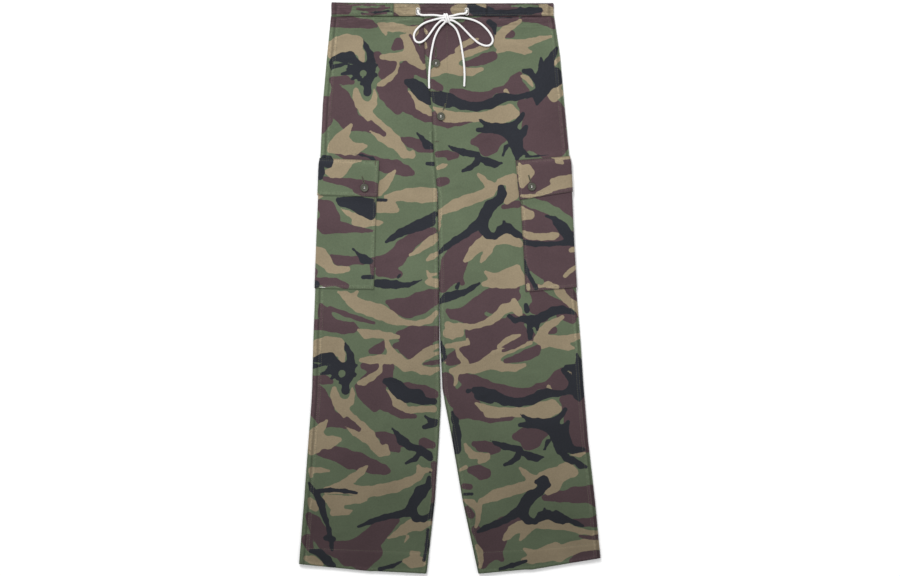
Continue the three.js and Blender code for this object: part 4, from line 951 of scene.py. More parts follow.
def ownStrokes(name, extra=None, wrapFrom=None):
    # A piece's own strokes, and past its side fold those of the leg's print moved outwards
    strokes = {colour: segments(readStrokes(chart[name].get(colour, "")))
               for colour in ("brown", "tan", "black", "cut")}
    if extra is not None:
        step = 80 if wrapFrom > 450 else -80
        for colour in ("brown", "tan", "black"):
            moved = extra[colour] + np.array([step, 0, 0, step, 0, 0])
            beyond = (moved[:, 0] > wrapFrom) if step > 0 else (moved[:, 0] < wrapFrom)
            strokes[colour] = np.concatenate([strokes[colour], moved[beyond]])
    return strokes


def printMarks(strokes, px, py, ground="green"):
    # Millimetres to the edge of the brown, tan and black, below 0 inside
    distance = {colour: strokeDistance(strokes[colour], px, py) + pixel["trim"].get(colour, 0) for colour in strokes}
    none = np.full(px.shape, float(pixel["reach"]))
    brown, tan, black = (distance.get(colour, none) for colour in ("brown", "tan", "black"))
    cut = distance.get("cut", none)
    if ground == "brown":
        brown = -cut
    tan = np.maximum(tan, -cut)
    brown = np.maximum(brown, -cut)
    finger = distance.get("finger", none)
    tan, brown = np.maximum(tan, -finger), np.minimum(brown, finger)
    black = np.maximum(black, -distance.get("hole", none))
    return np.stack([brown, tan, black], -1) * pixel["size"]


def piecePrint(name, middle, flat):
    px = pixel["centreX"] + flat[..., 0] / pixel["size"]
    py = pixel["centreY"] - flat[..., 1] / pixel["size"]
    side = "left" if "left" in name else "right"
    kind = name.split("_")[0]
    if kind == "front":
        return printMarks(allStrokes[side], px, py)
    seenX = pixel["centreX"] + middle[..., 0] / pixel["size"]
    column = np.arange(middle.shape[1])
    if kind == "back":  # runs on round the side fold, then changes to the other leg's part of the print
        own = printMarks(allStrokes[side], px, py)
        other = printMarks(allStrokes["right" if side == "left" else "left"], 885 - seenX, py)
        return mix(own, other, ease((column - 9) / 8)[None, :, None])
    if kind in ("pocket", "flap"):
        key = side + ("Bag" if kind == "pocket" else "Flap")
        wrapFrom = 308 if side == "left" else 585
        strokes = ownStrokes(key, allStrokes[side], wrapFrom)
        return printMarks(strokes, px, py, chart[key].get("ground", "green"))
    if name == "waistband_back":
        both = {colour: np.concatenate([allStrokes["left"][colour], allStrokes["right"][colour]])
                for colour in ("brown", "tan", "black")}
        marks = printMarks(both, px + 250, py + 60)
        for key, near in (("bandLeft", column), ("bandRight", column[::-1])):
            own = printMarks(ownStrokes(key), seenX, py, chart[key].get("ground", "green"))
            marks = mix(own, marks, ease((near - 8) / 6)[None, :, None])
        return marks
    key = {"left": "bandLeft", "centre": "bandCentre", "right": "bandRight"}[name.split("_")[-1]]
    return printMarks(ownStrokes(key), px, py, chart[key].get("ground", "green"))


allStrokes = {side: legStrokes(side) for side in legs}
printOf = {name: piecePrint(name, middle, flat) for name, (middle, out, wall, flat) in pieces.items()}
print("print laid out:", sum(len(part) for strokes in allStrokes.values() for part in strokes.values()), "strokes")


# Node groups and materials
def node(tree, kind, sockets=None, **settings):
    made = tree.nodes.new(kind)
    for key, value in settings.items():
        setattr(made, key, value)
    for key, value in (sockets or {}).items():
        if isinstance(value, bpy.types.NodeSocket):
            tree.links.new(value, made.inputs[key])
        else:
            made.inputs[key].default_value = value
    return made


def newGroup(name, inputs, outputs):
    group = bpy.data.node_groups.new(name, "ShaderNodeTree")
    for label, kind, value in inputs:
        socket = group.interface.new_socket(label, in_out="INPUT", socket_type=kind)
        if value is not None:
            socket.default_value = value
    for label, kind in outputs:
        group.interface.new_socket(label, in_out="OUTPUT", socket_type=kind)
    return group, group.nodes.new("NodeGroupInput"), group.nodes.new("NodeGroupOutput")


def sums(tree, operation, a, b, clamp=False):
    return node(tree, "ShaderNodeMath", {0: a, 1: b}, operation=operation, use_clamp=clamp).outputs[0]


def ranged(tree, value, fromLow, fromHigh, toLow, toHigh):
    return node(tree, "ShaderNodeMapRange", {"Value": value, "From Min": fromLow, "From Max": fromHigh,
                                             "To Min": toLow, "To Max": toHigh}).outputs["Result"]


def blended(tree, factor, a, b, mode="MIX"):
    made = node(tree, "ShaderNodeMix", data_type="RGBA", blend_type=mode)
    for key, value in ((0, factor), (6, a), (7, b)):
        if isinstance(value, bpy.types.NodeSocket):
            tree.links.new(value, made.inputs[key])
        else:
            made.inputs[key].default_value = value
    return made.outputs[2]


dye = {
    "green": (0.1005, 0.130, 0.0785, 1), "brown": (0.0755, 0.0462, 0.0520, 1), "tan": (0.262, 0.211, 0.137, 1),
    "black": (0.0205, 0.0226, 0.0290, 1), "wobble": 3.4, "fineWobble": 0.5, "edge": 0.28,
}


def camouflageGroup():
    # The printed edges wander by a noise, and the dyes are laid over each other in order
    tree, given, result = newGroup(
        "camouflage", [("Place", "NodeSocketVector", None), ("Marks", "NodeSocketVector", None),
                       ("Wobble", "NodeSocketFloat", dye["wobble"]), ("Fine Wobble", "NodeSocketFloat", dye["fineWobble"])],
        [("Color", "NodeSocketColor")])
    marks = given.outputs["Marks"]
    for scale, detail, size in ((84, 2.0, "Wobble"), (430, 1.0, "Fine Wobble")):
        noise = node(tree, "ShaderNodeTexNoise", {"Vector": given.outputs["Place"], "Scale": scale, "Detail": detail,
                                                  "Roughness": 0.55})
        centred = node(tree, "ShaderNodeVectorMath", {0: noise.outputs["Color"], 1: (0.5, 0.5, 0.5)},
                       operation="SUBTRACT")
        sized = node(tree, "ShaderNodeVectorMath", {0: centred.outputs[0], "Scale": given.outputs[size]},
                     operation="SCALE")
        marks = node(tree, "ShaderNodeVectorMath", {0: marks, 1: sized.outputs[0]}, operation="ADD").outputs[0]
    parts = node(tree, "ShaderNodeSeparateXYZ", {0: marks})
    colour = dye["green"]
    for axis, name in ((0, "brown"), (1, "tan"), (2, "black")):
        inside = ranged(tree, parts.outputs[axis], dye["edge"], -dye["edge"], 0.0, 1.0)
        colour = blended(tree, inside, colour, dye[name])
    tree.links.new(colour, result.inputs["Color"])
    return tree


def twillGroup():
    # Slanting ribs with uneven yarns between them
    tree, given, result = newGroup(
        "twill_weave", [("Flat Place", "NodeSocketVector", None), ("Rib", "NodeSocketFloat", 450.0)],
        [("Height", "NodeSocketFloat"), ("Yarn", "NodeSocketFloat")])
    turned = node(tree, "ShaderNodeMapping", {"Vector": given.outputs["Flat Place"], "Rotation": (0, 0, 1.08)})
    ribs = node(tree, "ShaderNodeTexWave", {"Vector": turned.outputs[0], "Scale": given.outputs["Rib"],
                                            "Distortion": 0.6, "Detail": 1.0})
    stretched = node(tree, "ShaderNodeMapping", {"Vector": given.outputs["Flat Place"], "Scale": (2600, 420, 1)})
    yarns = node(tree, "ShaderNodeTexNoise", {"Vector": stretched.outputs[0], "Scale": 1.0, "Detail": 2.0})
    height = sums(tree, "ADD", sums(tree, "MULTIPLY", ribs.outputs["Fac"], 0.65),
                  sums(tree, "MULTIPLY", yarns.outputs["Fac"], 0.5))
    tree.links.new(height, result.inputs["Height"])
    tree.links.new(yarns.outputs["Fac"], result.inputs["Yarn"])
    return tree


def agedGroup():
    # Uneven fading of any colour: soft clouds, small mottling, and paler worn edges
    tree, given, result = newGroup(
        "washed_out", [("Color", "NodeSocketColor", (1, 1, 1, 1)), ("Place", "NodeSocketVector", None),
                       ("Wear", "NodeSocketFloat", 0.0), ("Clouds", "NodeSocketFloat", 0.12),
                       ("Mottle", "NodeSocketFloat", 0.10), ("Cloud Size", "NodeSocketFloat", 11.0)],
        [("Color", "NodeSocketColor")])
    place = given.outputs["Place"]
    clouds = node(tree, "ShaderNodeTexNoise", {"Vector": place, "Scale": given.outputs["Cloud Size"], "Detail": 3.0})
    mottle = node(tree, "ShaderNodeTexNoise", {"Vector": place, "Scale": 340, "Detail": 3.0, "Roughness": 0.7})
    value = sums(tree, "MULTIPLY", sums(tree, "SUBTRACT", clouds.outputs["Fac"], 0.5),
                 sums(tree, "MULTIPLY", given.outputs["Clouds"], 4.0))
    small = sums(tree, "MULTIPLY", sums(tree, "SUBTRACT", mottle.outputs["Fac"], 0.5),
                 sums(tree, "MULTIPLY", given.outputs["Mottle"], 4.0))
    worn = sums(tree, "MULTIPLY", given.outputs["Wear"], ranged(tree, mottle.outputs["Fac"], 0.35, 0.7, 0.0, 0.5))
    bright = sums(tree, "ADD", sums(tree, "ADD", 1.0, value), sums(tree, "ADD", small, worn))
    scaled = node(tree, "ShaderNodeVectorMath", {0: given.outputs["Color"], "Scale": bright}, operation="SCALE")
    tree.links.new(scaled.outputs[0], result.inputs["Color"])
    return tree


groups = {"camouflage": camouflageGroup(), "twill": twillGroup(), "aged": agedGroup()}


def newMaterial(name, roughness, sheen=0.0, specular=0.5):
    material = bpy.data.materials.new(name)
    material.use_nodes = True
    tree = material.node_tree
    shader = tree.nodes["Principled BSDF"]
    shader.inputs["Roughness"].default_value = roughness
    shader.inputs["Sheen Weight"].default_value = sheen
    shader.inputs["Specular IOR Level"].default_value = specular
    return material, tree, shader


def bump(tree, shader, height, distance, strength=1.0, over=None):
    made = node(tree, "ShaderNodeBump", {"Height": height, "Distance": distance, "Strength": strength,
                                         **({"Normal": over} if over else {})})
    tree.links.new(made.outputs[0], shader.inputs["Normal"])


def grouped(tree, key, sockets):
    return node(tree, "ShaderNodeGroup", sockets, node_tree=groups[key])


def clothMaterial():
    material, tree, shader = newMaterial("camouflage_twill", 0.88, sheen=0.03, specular=0.16)
    place = node(tree, "ShaderNodeTexCoord").outputs["Object"]
    flat = node(tree, "ShaderNodeUVMap", uv_map="flatCloth").outputs[0]
    marks = node(tree, "ShaderNodeAttribute", attribute_name="print").outputs["Vector"]
    wear = node(tree, "ShaderNodeAttribute", attribute_name="wear").outputs["Fac"]
    printed = grouped(tree, "camouflage", {"Place": place, "Marks": marks})
    weave = grouped(tree, "twill", {"Flat Place": flat})
    aged = grouped(tree, "aged", {"Color": printed.outputs["Color"], "Place": place, "Wear": wear, "Clouds": 0.10,
                                  "Mottle": 0.10})
    # the cloth darkens from the thighs down to the hems
    height = node(tree, "ShaderNodeSeparateXYZ", {0: place}).outputs[1]
    down = ranged(tree, height, -0.45, 0.04, 0.59, 1.0)
    # fine crosswise gathers on the waistband and just below it, with painted shade in their hollows
    stretched = node(tree, "ShaderNodeMapping", {"Vector": place, "Scale": (34, 250, 1)})
    gathers = node(tree, "ShaderNodeTexNoise", {"Vector": stretched.outputs[0], "Scale": 1.0, "Detail": 3.0,
                                                "Roughness": 0.6}).outputs["Fac"]
    atWaist = ranged(tree, height, 0.470, 0.512, 0.0, 1.0)
    paintedGatherShade = sums(tree, "MULTIPLY", ranged(tree, gathers, 0.34, 0.62, 0.38, -0.04), atWaist)
    # painted shadow: the cloth darkened by about a third along every cut edge
    seam = node(tree, "ShaderNodeAttribute", attribute_name="seam").outputs["Fac"]
    seamShade = sums(tree, "SUBTRACT", 1.0, sums(tree, "MULTIPLY", seam, 0.32))
    shade = sums(tree, "MULTIPLY", sums(tree, "MULTIPLY", down, seamShade), sums(tree, "SUBTRACT", 1.0, paintedGatherShade))
    toned = node(tree, "ShaderNodeVectorMath", {0: aged.outputs["Color"], "Scale": shade}, operation="SCALE")
    tree.links.new(toned.outputs[0], shader.inputs["Base Color"])
    tree.links.new(ranged(tree, weave.outputs["Yarn"], 0.3, 0.7, 0.82, 0.95), shader.inputs["Roughness"])
    # relief: the weave, soft crumples all over and the gathers
    crumple = node(tree, "ShaderNodeTexNoise", {"Vector": place, "Scale": 24, "Detail": 3.0, "Roughness": 0.5,
                                                "Distortion": 0.6}).outputs["Fac"]
    soft = node(tree, "ShaderNodeBump", {"Height": crumple, "Distance": 0.0045, "Strength": 0.5})
    folded = node(tree, "ShaderNodeBump", {"Height": sums(tree, "MULTIPLY", gathers, atWaist), "Distance": 0.0016,
                                           "Strength": 0.6, "Normal": soft.outputs[0]})
    bump(tree, shader, weave.outputs["Height"], 0.00012, 0.7, folded.outputs[0])
    return material


def threadMaterial(name, colour, roughness=0.7):
    # Two plies wound round each other, drawn on Object coordinates as a fine slant
    material, tree, shader = newMaterial(name, roughness, sheen=0.1, specular=0.35)
    place = node(tree, "ShaderNodeTexCoord").outputs["Object"]
    aged = grouped(tree, "aged", {"Color": colour, "Place": place, "Clouds": 0.08, "Mottle": 0.2, "Wear": 0.0})
    tree.links.new(aged.outputs["Color"], shader.inputs["Base Color"])
    plies = node(tree, "ShaderNodeTexWave", {"Vector": place, "Scale": 900.0, "Distortion": 1.5},
                 bands_direction="DIAGONAL")
    bump(tree, shader, plies.outputs["Fac"], 0.00005, 0.6)
    return material


def cordMaterial():
    # The strands' relief is in the mesh; here are the yarns of each strand, darker between them
    material, tree, shader = newMaterial("white_braid", 0.8, sheen=0.15, specular=0.3)
    place = node(tree, "ShaderNodeTexCoord").outputs["Object"]
    flat = node(tree, "ShaderNodeUVMap", uv_map="flatCloth").outputs[0]
    aged = grouped(tree, "aged", {"Color": (0.80, 0.79, 0.785, 1), "Place": place, "Clouds": 0.03, "Mottle": 0.06,
                                  "Wear": 0.0})
    turned = node(tree, "ShaderNodeMapping", {"Vector": flat, "Rotation": (0, 0, 0.6)})
    yarns = node(tree, "ShaderNodeTexWave", {"Vector": turned.outputs[0], "Scale": 800.0, "Distortion": 1.0})
    hollow = ranged(tree, yarns.outputs["Fac"], 0.0, 0.4, 0.86, 1.0)
    toned = node(tree, "ShaderNodeVectorMath", {0: aged.outputs["Color"], "Scale": hollow}, operation="SCALE")
    tree.links.new(toned.outputs[0], shader.inputs["Base Color"])
    bump(tree, shader, yarns.outputs["Fac"], 0.0001, 0.6)
    return material


def buttonMaterial():
    material, tree, shader = newMaterial("olive_button", 0.42, specular=0.5)
    place = node(tree, "ShaderNodeTexCoord").outputs["Object"]
    swirl = node(tree, "ShaderNodeTexNoise", {"Vector": place, "Scale": 130, "Detail": 3.0, "Distortion": 1.4})
    colour = blended(tree, swirl.outputs["Fac"], (0.030, 0.032, 0.022, 1), (0.085, 0.088, 0.060, 1))
    tree.links.new(colour, shader.inputs["Base Color"])
    grain = node(tree, "ShaderNodeTexNoise", {"Vector": place, "Scale": 1500, "Detail": 2.0})
    tree.links.new(ranged(tree, grain.outputs["Fac"], 0.3, 0.7, 0.34, 0.52), shader.inputs["Roughness"])
    bump(tree, shader, grain.outputs["Fac"], 0.00004, 0.5)
    return material


clothFinish = clothMaterial()
threadFinish = threadMaterial("olive_thread", (0.105, 0.105, 0.065, 1))
paleThread = threadMaterial("pale_thread", (0.72, 0.71, 0.68, 1))
cordFinish = cordMaterial()
buttonFinish = buttonMaterial()
for piece in (cordObjects["left"], cordObjects["right"], bowKnot):
    piece.data.materials.append(cordFinish)
print("materials ready")


def edgeMarks(flat):
    # Bells round a distance from the nearest cut edge: worn cloth a few millimetres inside it, and a
    #  painted shadow at the edge itself
    x, y = flat[..., 0], flat[..., 1]
    nearest = np.minimum.reduce([np.abs(x - x[:, :1]), np.abs(x - x[:, -1:]), np.abs(y - y[:1]), np.abs(y - y[-1:])])
    return {"wear": np.exp(-(((nearest - 4.5) / 2.5) ** 2)), "seam": np.exp(-((nearest / 2.0) ** 2))}


clothPieces = {}
for name, (middle, out, wall, flat) in pieces.items():
    marks = {"print": printOf[name], **edgeMarks(flat)}
    piece = shell(f"cloth_{name}", middle, out, wall, flat, marks, clothFinish)
    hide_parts(name)
    clothPieces[name] = piece
print("cloth pieces ready:", sum(len(p.data.polygons) for p in clothPieces.values()), "faces")

# Threads of the seams, buttonholes and bar tacks
sewing = {
    "stitch": 2.7, "space": 0.8, "thread": 0.30, "rise": 0.10, "sink": 0.16,
    "satinPitch": 0.52, "satinThread": 0.26, "holeWidth": 3.6, "tackWidth": 2.4,
}


def places(side, x, y):
    # Row and column of the leg at a place of its front, found by a few guesses in turn
    x, y = np.asarray(x, float), np.asarray(y, float)
    w, c = np.full(x.shape, 4.0), np.full(x.shape, 2.0)
    for _ in range(5):
        heights = np.stack([legSurface(side, float(k), c)[0][..., 1] for k in range(11)], -1)
        w = np.clip((heights[..., :-1] - y[..., None]) / (heights[..., :-1] - heights[..., 1:]), 0, 1).sum(-1)
        across = np.stack([legSurface(side, w, float(k))[0][..., 0] for k in range(5)], -1)
        c = np.clip((x[..., None] - across[..., :-1]) / (across[..., 1:] - across[..., :-1]), 0, 1).sum(-1)
    return w, c


def onCloth(kind, side, w, c):
    # The outer face of a leg panel, bag or flap at these rows and columns, and its outward direction
    w, c = np.broadcast_arrays(np.asarray(w, float), np.asarray(c, float))
    middle, out, wall, flat = legSurface(side, w, c)
    layer = garment["layer"]
    lift = {"leg": 0 * w, "bag": layer + bagBelly(w, c),
            "flap": layer * (1 + easedSteps(np.clip(w - 2, 0, 1))) + bagBelly(w, c)}[kind]
    return middle + out * (lift + wall / 2)[..., None], out


def atPixel(kind, side, px, py):
    x = (np.asarray(px, float) - pixel["centreX"]) * pixel["size"]
    y = (pixel["centreY"] - np.asarray(py, float)) * pixel["size"]
    w, c = places(side, x, y)
    return onCloth(kind, side, w, c)


def threads(starts, ends, out, thick, rise, sink):
    # Each thread is three squares on edge: thin and sunk at both ends, full and raised in its middle
    along = unit(ends - starts)
    across = unit(np.cross(along, out))
    rings = []
    for t, size, lift in ((0.0, 0.55, -sink), (0.5, 1.0, rise), (1.0, 0.55, -sink)):
        centre = mix(starts, ends, t) + out * lift
        rings += [centre + across * thick * size, centre + out * thick * size,
                  centre - across * thick * size, centre - out * thick * size]
    spots = np.stack(rings, 1)
    ring = np.array([0, 1, 2, 3])
    faces = [np.stack([ring + k, np.roll(ring, -1) + k, np.roll(ring, -1) + k + 4, ring + k + 4], -1) for k in (0, 4)]
    faces += [np.array([[3, 2, 1, 0]]), np.array([[8, 9, 10, 11]])]
    quads = np.concatenate(faces)[None] + 12 * np.arange(len(starts))[:, None, None]
    return spots.reshape(-1, 3), quads.reshape(-1, 4)


def runningStitches(line, out):
    # Cuts a line on the cloth into stitches with a space after each
    step = sewing["stitch"] + sewing["space"]
    along = lengthAlong(line)
    begin = np.arange(0.4, along[-1] - sewing["stitch"], step)
    cut = lambda values, stops: np.stack([np.interp(stops, along, values[:, k]) for k in range(3)], -1)
    return threads(cut(line, begin), cut(line, begin + sewing["stitch"]), unit(cut(out, begin)),
                   sewing["thread"], sewing["rise"], sewing["sink"])


def satin(line, out, width, offset=0.0):
    # Threads side by side across a line, for buttonhole edges and bar tacks
    along = lengthAlong(line)
    stops = np.arange(0, along[-1], sewing["satinPitch"])
    cut = lambda values: np.stack([np.interp(stops, along, values[:, k]) for k in range(3)], -1)
    centre, up = cut(line), unit(cut(out))
    across = unit(np.cross(up, cut(np.gradient(line, axis=0))))
    lean = 0.12 * np.sin(stops * 7.3)[:, None] * across
    centre = centre + across * offset + lean
    return threads(centre - across * width / 2, centre + across * width / 2, up, sewing["satinThread"], 0.22, 0.05)


def joined(parts):
    # Several lists of corners and squares as one
    starts = np.cumsum([0] + [len(spots) for spots, quads in parts[:-1]])
    return np.concatenate([spots for spots, quads in parts]), np.concatenate(
        [quads + start for (spots, quads), start in zip(parts, starts)])


def sewn(name, parts, material):
    spots, quads = joined(parts)
    piece = makePiece(name, spots, quads, material=material, sharp=0)
    return piece


def runDown(kind, side, first, last, column, dense=1.6):
    # A line along the leg at a column, between two rows
    count = int(abs(last - first) * 110 / dense) + 2
    w = np.linspace(first, last, count)
    return onCloth(kind, side, w, column)


def runAcross(kind, side, row, first, last, count=120):
    return onCloth(kind, side, row, np.linspace(first, last, count))


def insideEdge(side, w, distance, face="inner"):
    # The column that lies this many millimetres inside the leg's inner edge or outseam
    w = np.asarray(w, float)
    if face == "inner":
        a, b = (legSurface(side, w, k)[0][..., 0] for k in (1.0, 2.0))
        return 1 + (distance - 1.8) / np.abs(b - a)
    a, b = (legSurface(side, w, k)[0][..., 0] for k in (4.0, 3.0))
    return 4 - distance / np.abs(b - a)


for side in legs:
    parts = []
    for distance in (2.6, 7.6):  # outseam, above and below the pocket
        for first, last in ((0.02, 2.0), (6.05, 10.0)):
            w = np.linspace(first, last, 700)
            parts.append(runningStitches(*onCloth("leg", side, w, insideEdge(side, w, distance, "outseam"))))
    legY = np.linspace(192, -534, 800)
    edgeX = tableAt(legs[side]["outline"], 3, legY)
    for distance in (4.6, 9.2):  # inseam
        w, c = places(side, edgeX + legs[side]["outward"] * distance, legY)
        parts.append(runningStitches(*onCloth("leg", side, w, c)))
    parts.append(runningStitches(*runAcross("leg", side, 8.0, 0.6, 3.99, 300)))  # hem
    parts.append(runningStitches(*runAcross("leg", side, 8.0, 4.05, 9.4, 300)))
    for column in (3.014, 3.05):  # bag
        parts.append(runningStitches(*runDown("bag", side, 4.0, 5.985, column)))
    for row in (5.99, 5.967):
        parts.append(runningStitches(*runAcross("bag", side, row, 3.014, 6.98, 260)))
    for row in (2.10, 2.36, 3.975, 3.905):  # flap
        parts.append(runningStitches(*runAcross("flap", side, row, 3.0, 6.98, 260)))
    for column in (2.999, 3.034):
        parts.append(runningStitches(*runDown("flap", side, 2.1, 3.975, max(column, 3.0005))))
    for distance in (4.0, 8.0):  # back: outseam fell and seat seam
        w = np.linspace(0.05, 9.95, 500)
        parts.append(runningStitches(*onCloth("leg", side, w, 6 + distance / 110)))
        parts.append(runningStitches(*onCloth("leg", side, w, 9 - (distance - 2) / 90)))
    sewn(f"stitching_{side}", parts, threadFinish)

# the fly, the seam below it and the waistband
parts = []
flyY = np.linspace(508, 195, 400)
for distance in (2.6, 6.4):
    w, c = places("right", tableAt(rise, 1, flyY) + distance, flyY)
    parts.append(runningStitches(*onCloth("leg", "right", w, c)))
shield = smoothPath([[447, 16.5, 0], [447.1, 50, 0], [447.2, 88.7, 0], [446.8, 99, 0], [445.6, 106.5, 0],
                     [442.5, 112, 0], [437.5, 115.5, 0], [433.5, 117, 0]], 0.8)
parts.append(runningStitches(*atPixel("leg", "right", shield[:, 0], shield[:, 1])))
seamY = np.linspace(266, 196, 120)
w, c = places("left", tableAt(rise, 1, seamY) - 5.5, seamY)
parts.append(runningStitches(*onCloth("leg", "left", w, c)))


def onBand(x, t, face=1):
    middle, out, wall, flat = bandSurface(x, t, face)
    return middle + out * wall[..., None] / 2, out


lowRow, highRow = 0.10, 0.84
ends = (band["left"] + 9.5, band["right"] - 9.5)
slotX = [slot[0] for slot in band["slots"]]
starts = [ends[0]] + [x + band["slotClear"] for x in slotX]
stops = [x - band["slotClear"] for x in slotX] + [ends[1]]
for low, high in zip(starts, stops):  # the low row stays clear of the cord's slots
    parts.append(runningStitches(*onBand(np.linspace(low, high, 240), np.full(240, lowRow))))
parts.append(runningStitches(*onBand(np.linspace(*ends, 500), np.full(500, highRow))))
backX = np.linspace(band["left"] + 5, band["right"] - 5, 500)
for t in (lowRow, highRow):
    parts.append(runningStitches(*onBand(backX, np.full(500, t), -1)))
sewn("stitching_middle", parts, threadFinish)


def buttonhole(kind, side, start, end):
    # Two rows of satin along a slit, with a bar across each end; places in pixels
    x = np.linspace(start[0], end[0], 40)
    y = np.linspace(start[1], end[1], 40)
    line, out = atPixel(kind, side, x, y)
    width = sewing["holeWidth"]
    edge = width * 0.36
    bars = []
    for a, b in ((0, 3), (37, 40)):
        short = evenly(line[a:b], 0.3)
        bars.append(satin(short, out[:len(short)], width))
    # a near-black strip along the slit: painted shade in the buttonhole's cut
    slit = threads(line[:1], line[-1:], out[:1], 0.34, 0.02, 0.0)
    return [satin(line, out, edge, -width * 0.27), satin(line, out, edge, width * 0.27), *bars], slit


def tack(kind, side, start, end, width=None):
    line, out = atPixel(kind, side, np.linspace(start[0], end[0], 24), np.linspace(start[1], end[1], 24))
    return satin(line, out, width or sewing["tackWidth"])


holes, slitShadows = [], []
for hole in (("leg", "right", (435.6, 47.5), (436.0, 57.0)), ("leg", "right", (445.6, 103.5), (443.2, 110.4)),
             ("flap", "left", (362.2, 176.6), (364.2, 183.0)), ("flap", "right", (528.6, 175.4), (530.6, 182.0))):
    satins, slit = buttonhole(*hole)
    holes += satins
    slitShadows.append(slit)
holes += [tack("leg", "right", (430.8, 91.2), (439.5, 91.4), 1.9), tack("leg", "left", (428.2, 86.8), (429.4, 90.6)),
          tack("leg", "right", (434.5, 141.5), (439.0, 141.6)), tack("flap", "left", (375.2, 160.6), (375.4, 165.4)),
          tack("flap", "right", (517.2, 161.2), (517.6, 166.0)), tack("bag", "left", (374.4, 197.5), (374.5, 202.2)),
          tack("bag", "right", (522.0, 201.0), (522.3, 205.8))]
sewn("buttonhole_edges", holes, threadFinish)
# the slit strips' near-black finish is painted shade in the cuts
slitShadowFinish = threadMaterial("buttonhole_slit_shadow", (0.012, 0.012, 0.011, 1), 0.9)
sewn("buttonhole_slit_shadows", slitShadows, slitShadowFinish)
sewn("pale_tack", [tack("bag", "left", (317.5, 287.2), (325.5, 287.5), 1.5)], paleThread)


def slotOutline(slot, grow, count):
    # A line round an upright slot with round ends, at a distance outside its edge
    half = band["slotWidth"] / 2 + grow
    straight = band["slotLength"] / 2 - band["slotWidth"] / 2
    turn = np.linspace(0, 2 * np.pi, count, endpoint=False)
    x = slot[0] + half * np.cos(turn)
    y = slot[1] + half * np.sin(turn) + straight * np.clip(np.sin(turn) * 2.2, -1, 1)
    return np.stack([x, y], -1)


eyelets = []
for slot in band["slots"]:
    count = 84
    ends = []
    for grow in (-0.25, 1.55):
        spot = slotOutline(slot, grow, count)
        t = (spot[:, 1] - band["foot"]) / (tableAt(band["top"], 1, spot[:, 0]) - band["foot"])
        place, out = onBand(spot[:, 0], np.clip(t, 0, 0.97))
        place[:, 1] = spot[:, 1]
        ends.append(place)
    eyelets.append(threads(ends[0], ends[1], out, 0.30, 0.34, 0.0))
sewn("cord_eyelets", eyelets, paleThread)


def cutSlots(piece):
    # Cuts the cord's two slots through the front of the waistband
    cutters = []
    count = 40
    k = np.arange(count)
    after = np.roll(k, -1)
    for slot in band["slots"]:
        ring = slotOutline(slot, 0.0, count)
        foot = np.concatenate([ring, np.full((count, 1), band["cutFoot"])], 1)
        top = np.concatenate([ring, np.full((count, 1), band["cutTop"])], 1)
        lid = np.array([slot + [band["cutFoot"]], slot + [band["cutTop"]]])
        caps = np.concatenate([np.stack([np.full(count, 2 * count), after, k], -1),
                               np.stack([np.full(count, 2 * count + 1), k + count, after + count], -1)])
        side = np.stack([k, after, after + count, k + count], -1)
        cutters.append(makePiece("slot_cutter", np.concatenate([foot, top, lid]), side, caps, sharp=0))
    for number, cutter in enumerate(cutters):
        modifier = piece.modifiers.new(f"slot{number}", "BOOLEAN")
        modifier.operation, modifier.solver, modifier.object = "DIFFERENCE", "EXACT", cutter
    bpy.context.view_layer.update()
    whole = piece.evaluated_get(bpy.context.evaluated_depsgraph_get())
    cutMesh = bpy.data.meshes.new_from_object(whole, preserve_all_data_layers=True,
                                              depsgraph=bpy.context.evaluated_depsgraph_get())
    piece.modifiers.clear()
    piece.data = cutMesh
    for cutter in cutters:
        bpy.data.objects.remove(cutter, do_unlink=True)
    print("slots cut, kept:", [a.name for a in cutMesh.attributes if a.name in ("print", "wear", "flatCloth")])


cutSlots(clothPieces["waistband_front_centre"])
print("sewing ready")

# Four-hole buttons
button = {
    "radius": 7.6, "height": 2.8, "dish": 0.95, "dishRings": 34, "footRings": 8, "sides": 72,
    "hole": 0.95, "holeOut": 1.75, "well": 1.35, "thread": 0.32, "threadDepth": 1.15, "threadSpace": 0.42,
}


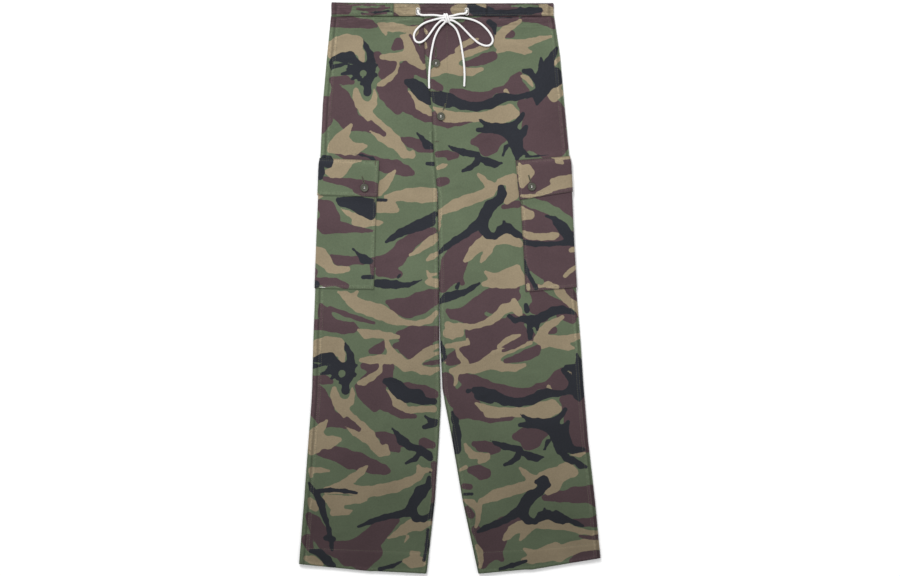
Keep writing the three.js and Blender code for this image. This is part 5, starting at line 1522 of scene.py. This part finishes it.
def buttonPiece(nodeName):
    # A polar grid: from the middle of the top over the rim and down to the middle of the foot. The
    # top sinks into a dish, and into four wells at the holes.
    low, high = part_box(nodeName)
    centreX, centreY = (low[0] + high[0]) / 2 / milli, (low[1] + high[1]) / 2 / milli
    base = low[2] / milli
    r, h, sides = button["radius"], button["height"], button["sides"]
    rings, footRings = button["dishRings"], button["footRings"]
    dishFloor = h - button["dish"]
    profile = smoothPath([[4.9, dishFloor, 0], [5.4, h - 0.85, 0], [5.9, h - 0.35, 0], [6.5, h, 0], [7.1, h - 0.15, 0],
                          [7.5, h - 0.7, 0], [r, h * 0.5, 0], [7.5, 0.6, 0], [7.0, 0.1, 0], [6.2, 0, 0]], 0.22)
    reach = np.concatenate([np.linspace(0.02, 4.8, rings), profile[:, 0], np.linspace(6.0, 0.02, footRings)])
    level = np.concatenate([np.full(rings, dishFloor), profile[:, 1], np.zeros(footRings)])
    angle = np.linspace(0, 2 * np.pi, sides, endpoint=False)
    x, y = reach[:, None] * np.cos(angle), reach[:, None] * np.sin(angle)
    z = np.broadcast_to(level[:, None], x.shape).copy()
    upper = np.arange(len(reach))[:, None] < rings
    for quarter in range(4):
        turn = (quarter + 0.5) * np.pi / 2
        gap = np.hypot(x - button["holeOut"] * np.cos(turn), y - button["holeOut"] * np.sin(turn))
        z = np.where(upper, z - button["well"] * ease((button["hole"] + 0.12 - gap) / 0.3), z)
    spots = np.stack([x + centreX, y + centreY, z + base], -1).reshape(-1, 3)
    count = len(spots)
    ring = np.arange(sides)
    after = np.roll(ring, -1)
    caps = np.concatenate([
        np.stack([np.full(sides, count), ring, after], -1),
        np.stack([np.full(sides, count + 1), count - sides + after, count - sides + ring], -1)])
    poles = np.array([[centreX, centreY, base + dishFloor], [centreX, centreY, base]])
    piece = makePiece(f"detailed_{nodeName}", np.concatenate([spots, poles]),
                      quadGrid(len(reach), sides, wrap=True), caps, material=buttonFinish, sharp=0)
    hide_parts(nodeName)

    # two bars of three threads each, from hole to hole
    starts, ends = [], []
    out = button["holeOut"] * math.cos(math.pi / 4)
    for row in (-out, out):
        for aside in (-button["threadSpace"], 0.0, button["threadSpace"]):
            level = base + h - button["threadDepth"]
            starts.append([centreX - out - 0.15, centreY + row + aside, level])
            ends.append([centreX + out + 0.15, centreY + row + aside * 0.8, level])
    up = np.tile([0, 0, 1.0], (6, 1))
    return threads(np.array(starts), np.array(ends), up, button["thread"], 0.5, 0.0)


buttonNodes = ("fly_button_top", "fly_button_low", "flap_button_left", "flap_button_right")
sewn("button_threads", [buttonPiece(name) for name in buttonNodes], paleThread)
print("buttons ready")

# Floor and soft light
studio = {"floor": (0.92, 0.92, 0.92, 1), "world": 0.74, "key": 128, "fill": 22}

floorMesh = bpy.data.meshes.new("floor")
floorMesh.from_pydata([(-6, -6, -0.0004), (6, -6, -0.0004), (6, 6, -0.0004), (-6, 6, -0.0004)], [], [(0, 1, 2, 3)])
paper = bpy.data.materials.new("pale_paper")
paper.use_nodes = True
paper.node_tree.nodes["Principled BSDF"].inputs["Base Color"].default_value = studio["floor"]
paper.node_tree.nodes["Principled BSDF"].inputs["Roughness"].default_value = 0.95
floorMesh.materials.append(paper)
floor = bpy.data.objects.new("floor", floorMesh)
scene.collection.objects.link(floor)
floor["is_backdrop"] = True

world = bpy.data.worlds.new("studio")
world.use_nodes = True
world.node_tree.nodes["Background"].inputs["Color"].default_value = (1, 1, 1, 1)
world.node_tree.nodes["Background"].inputs["Strength"].default_value = studio["world"]
scene.world = world


def softLight(name, place, size, power):
    data = bpy.data.lights.new(name, "AREA")
    data.shape, data.size, data.energy = "SQUARE", size, power
    light = bpy.data.objects.new(name, data)
    scene.collection.objects.link(light)
    light.location = place
    x, y, z = place
    light.rotation_euler = (math.atan2(math.hypot(x, y), z), 0, math.atan2(x, -y))


softLight("key_light", (-1.3, 2.9, 3.0), 1.4, studio["key"])
softLight("fill_light", (2.8, -1.6, 3.4), 2.6, studio["fill"])

low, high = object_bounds()
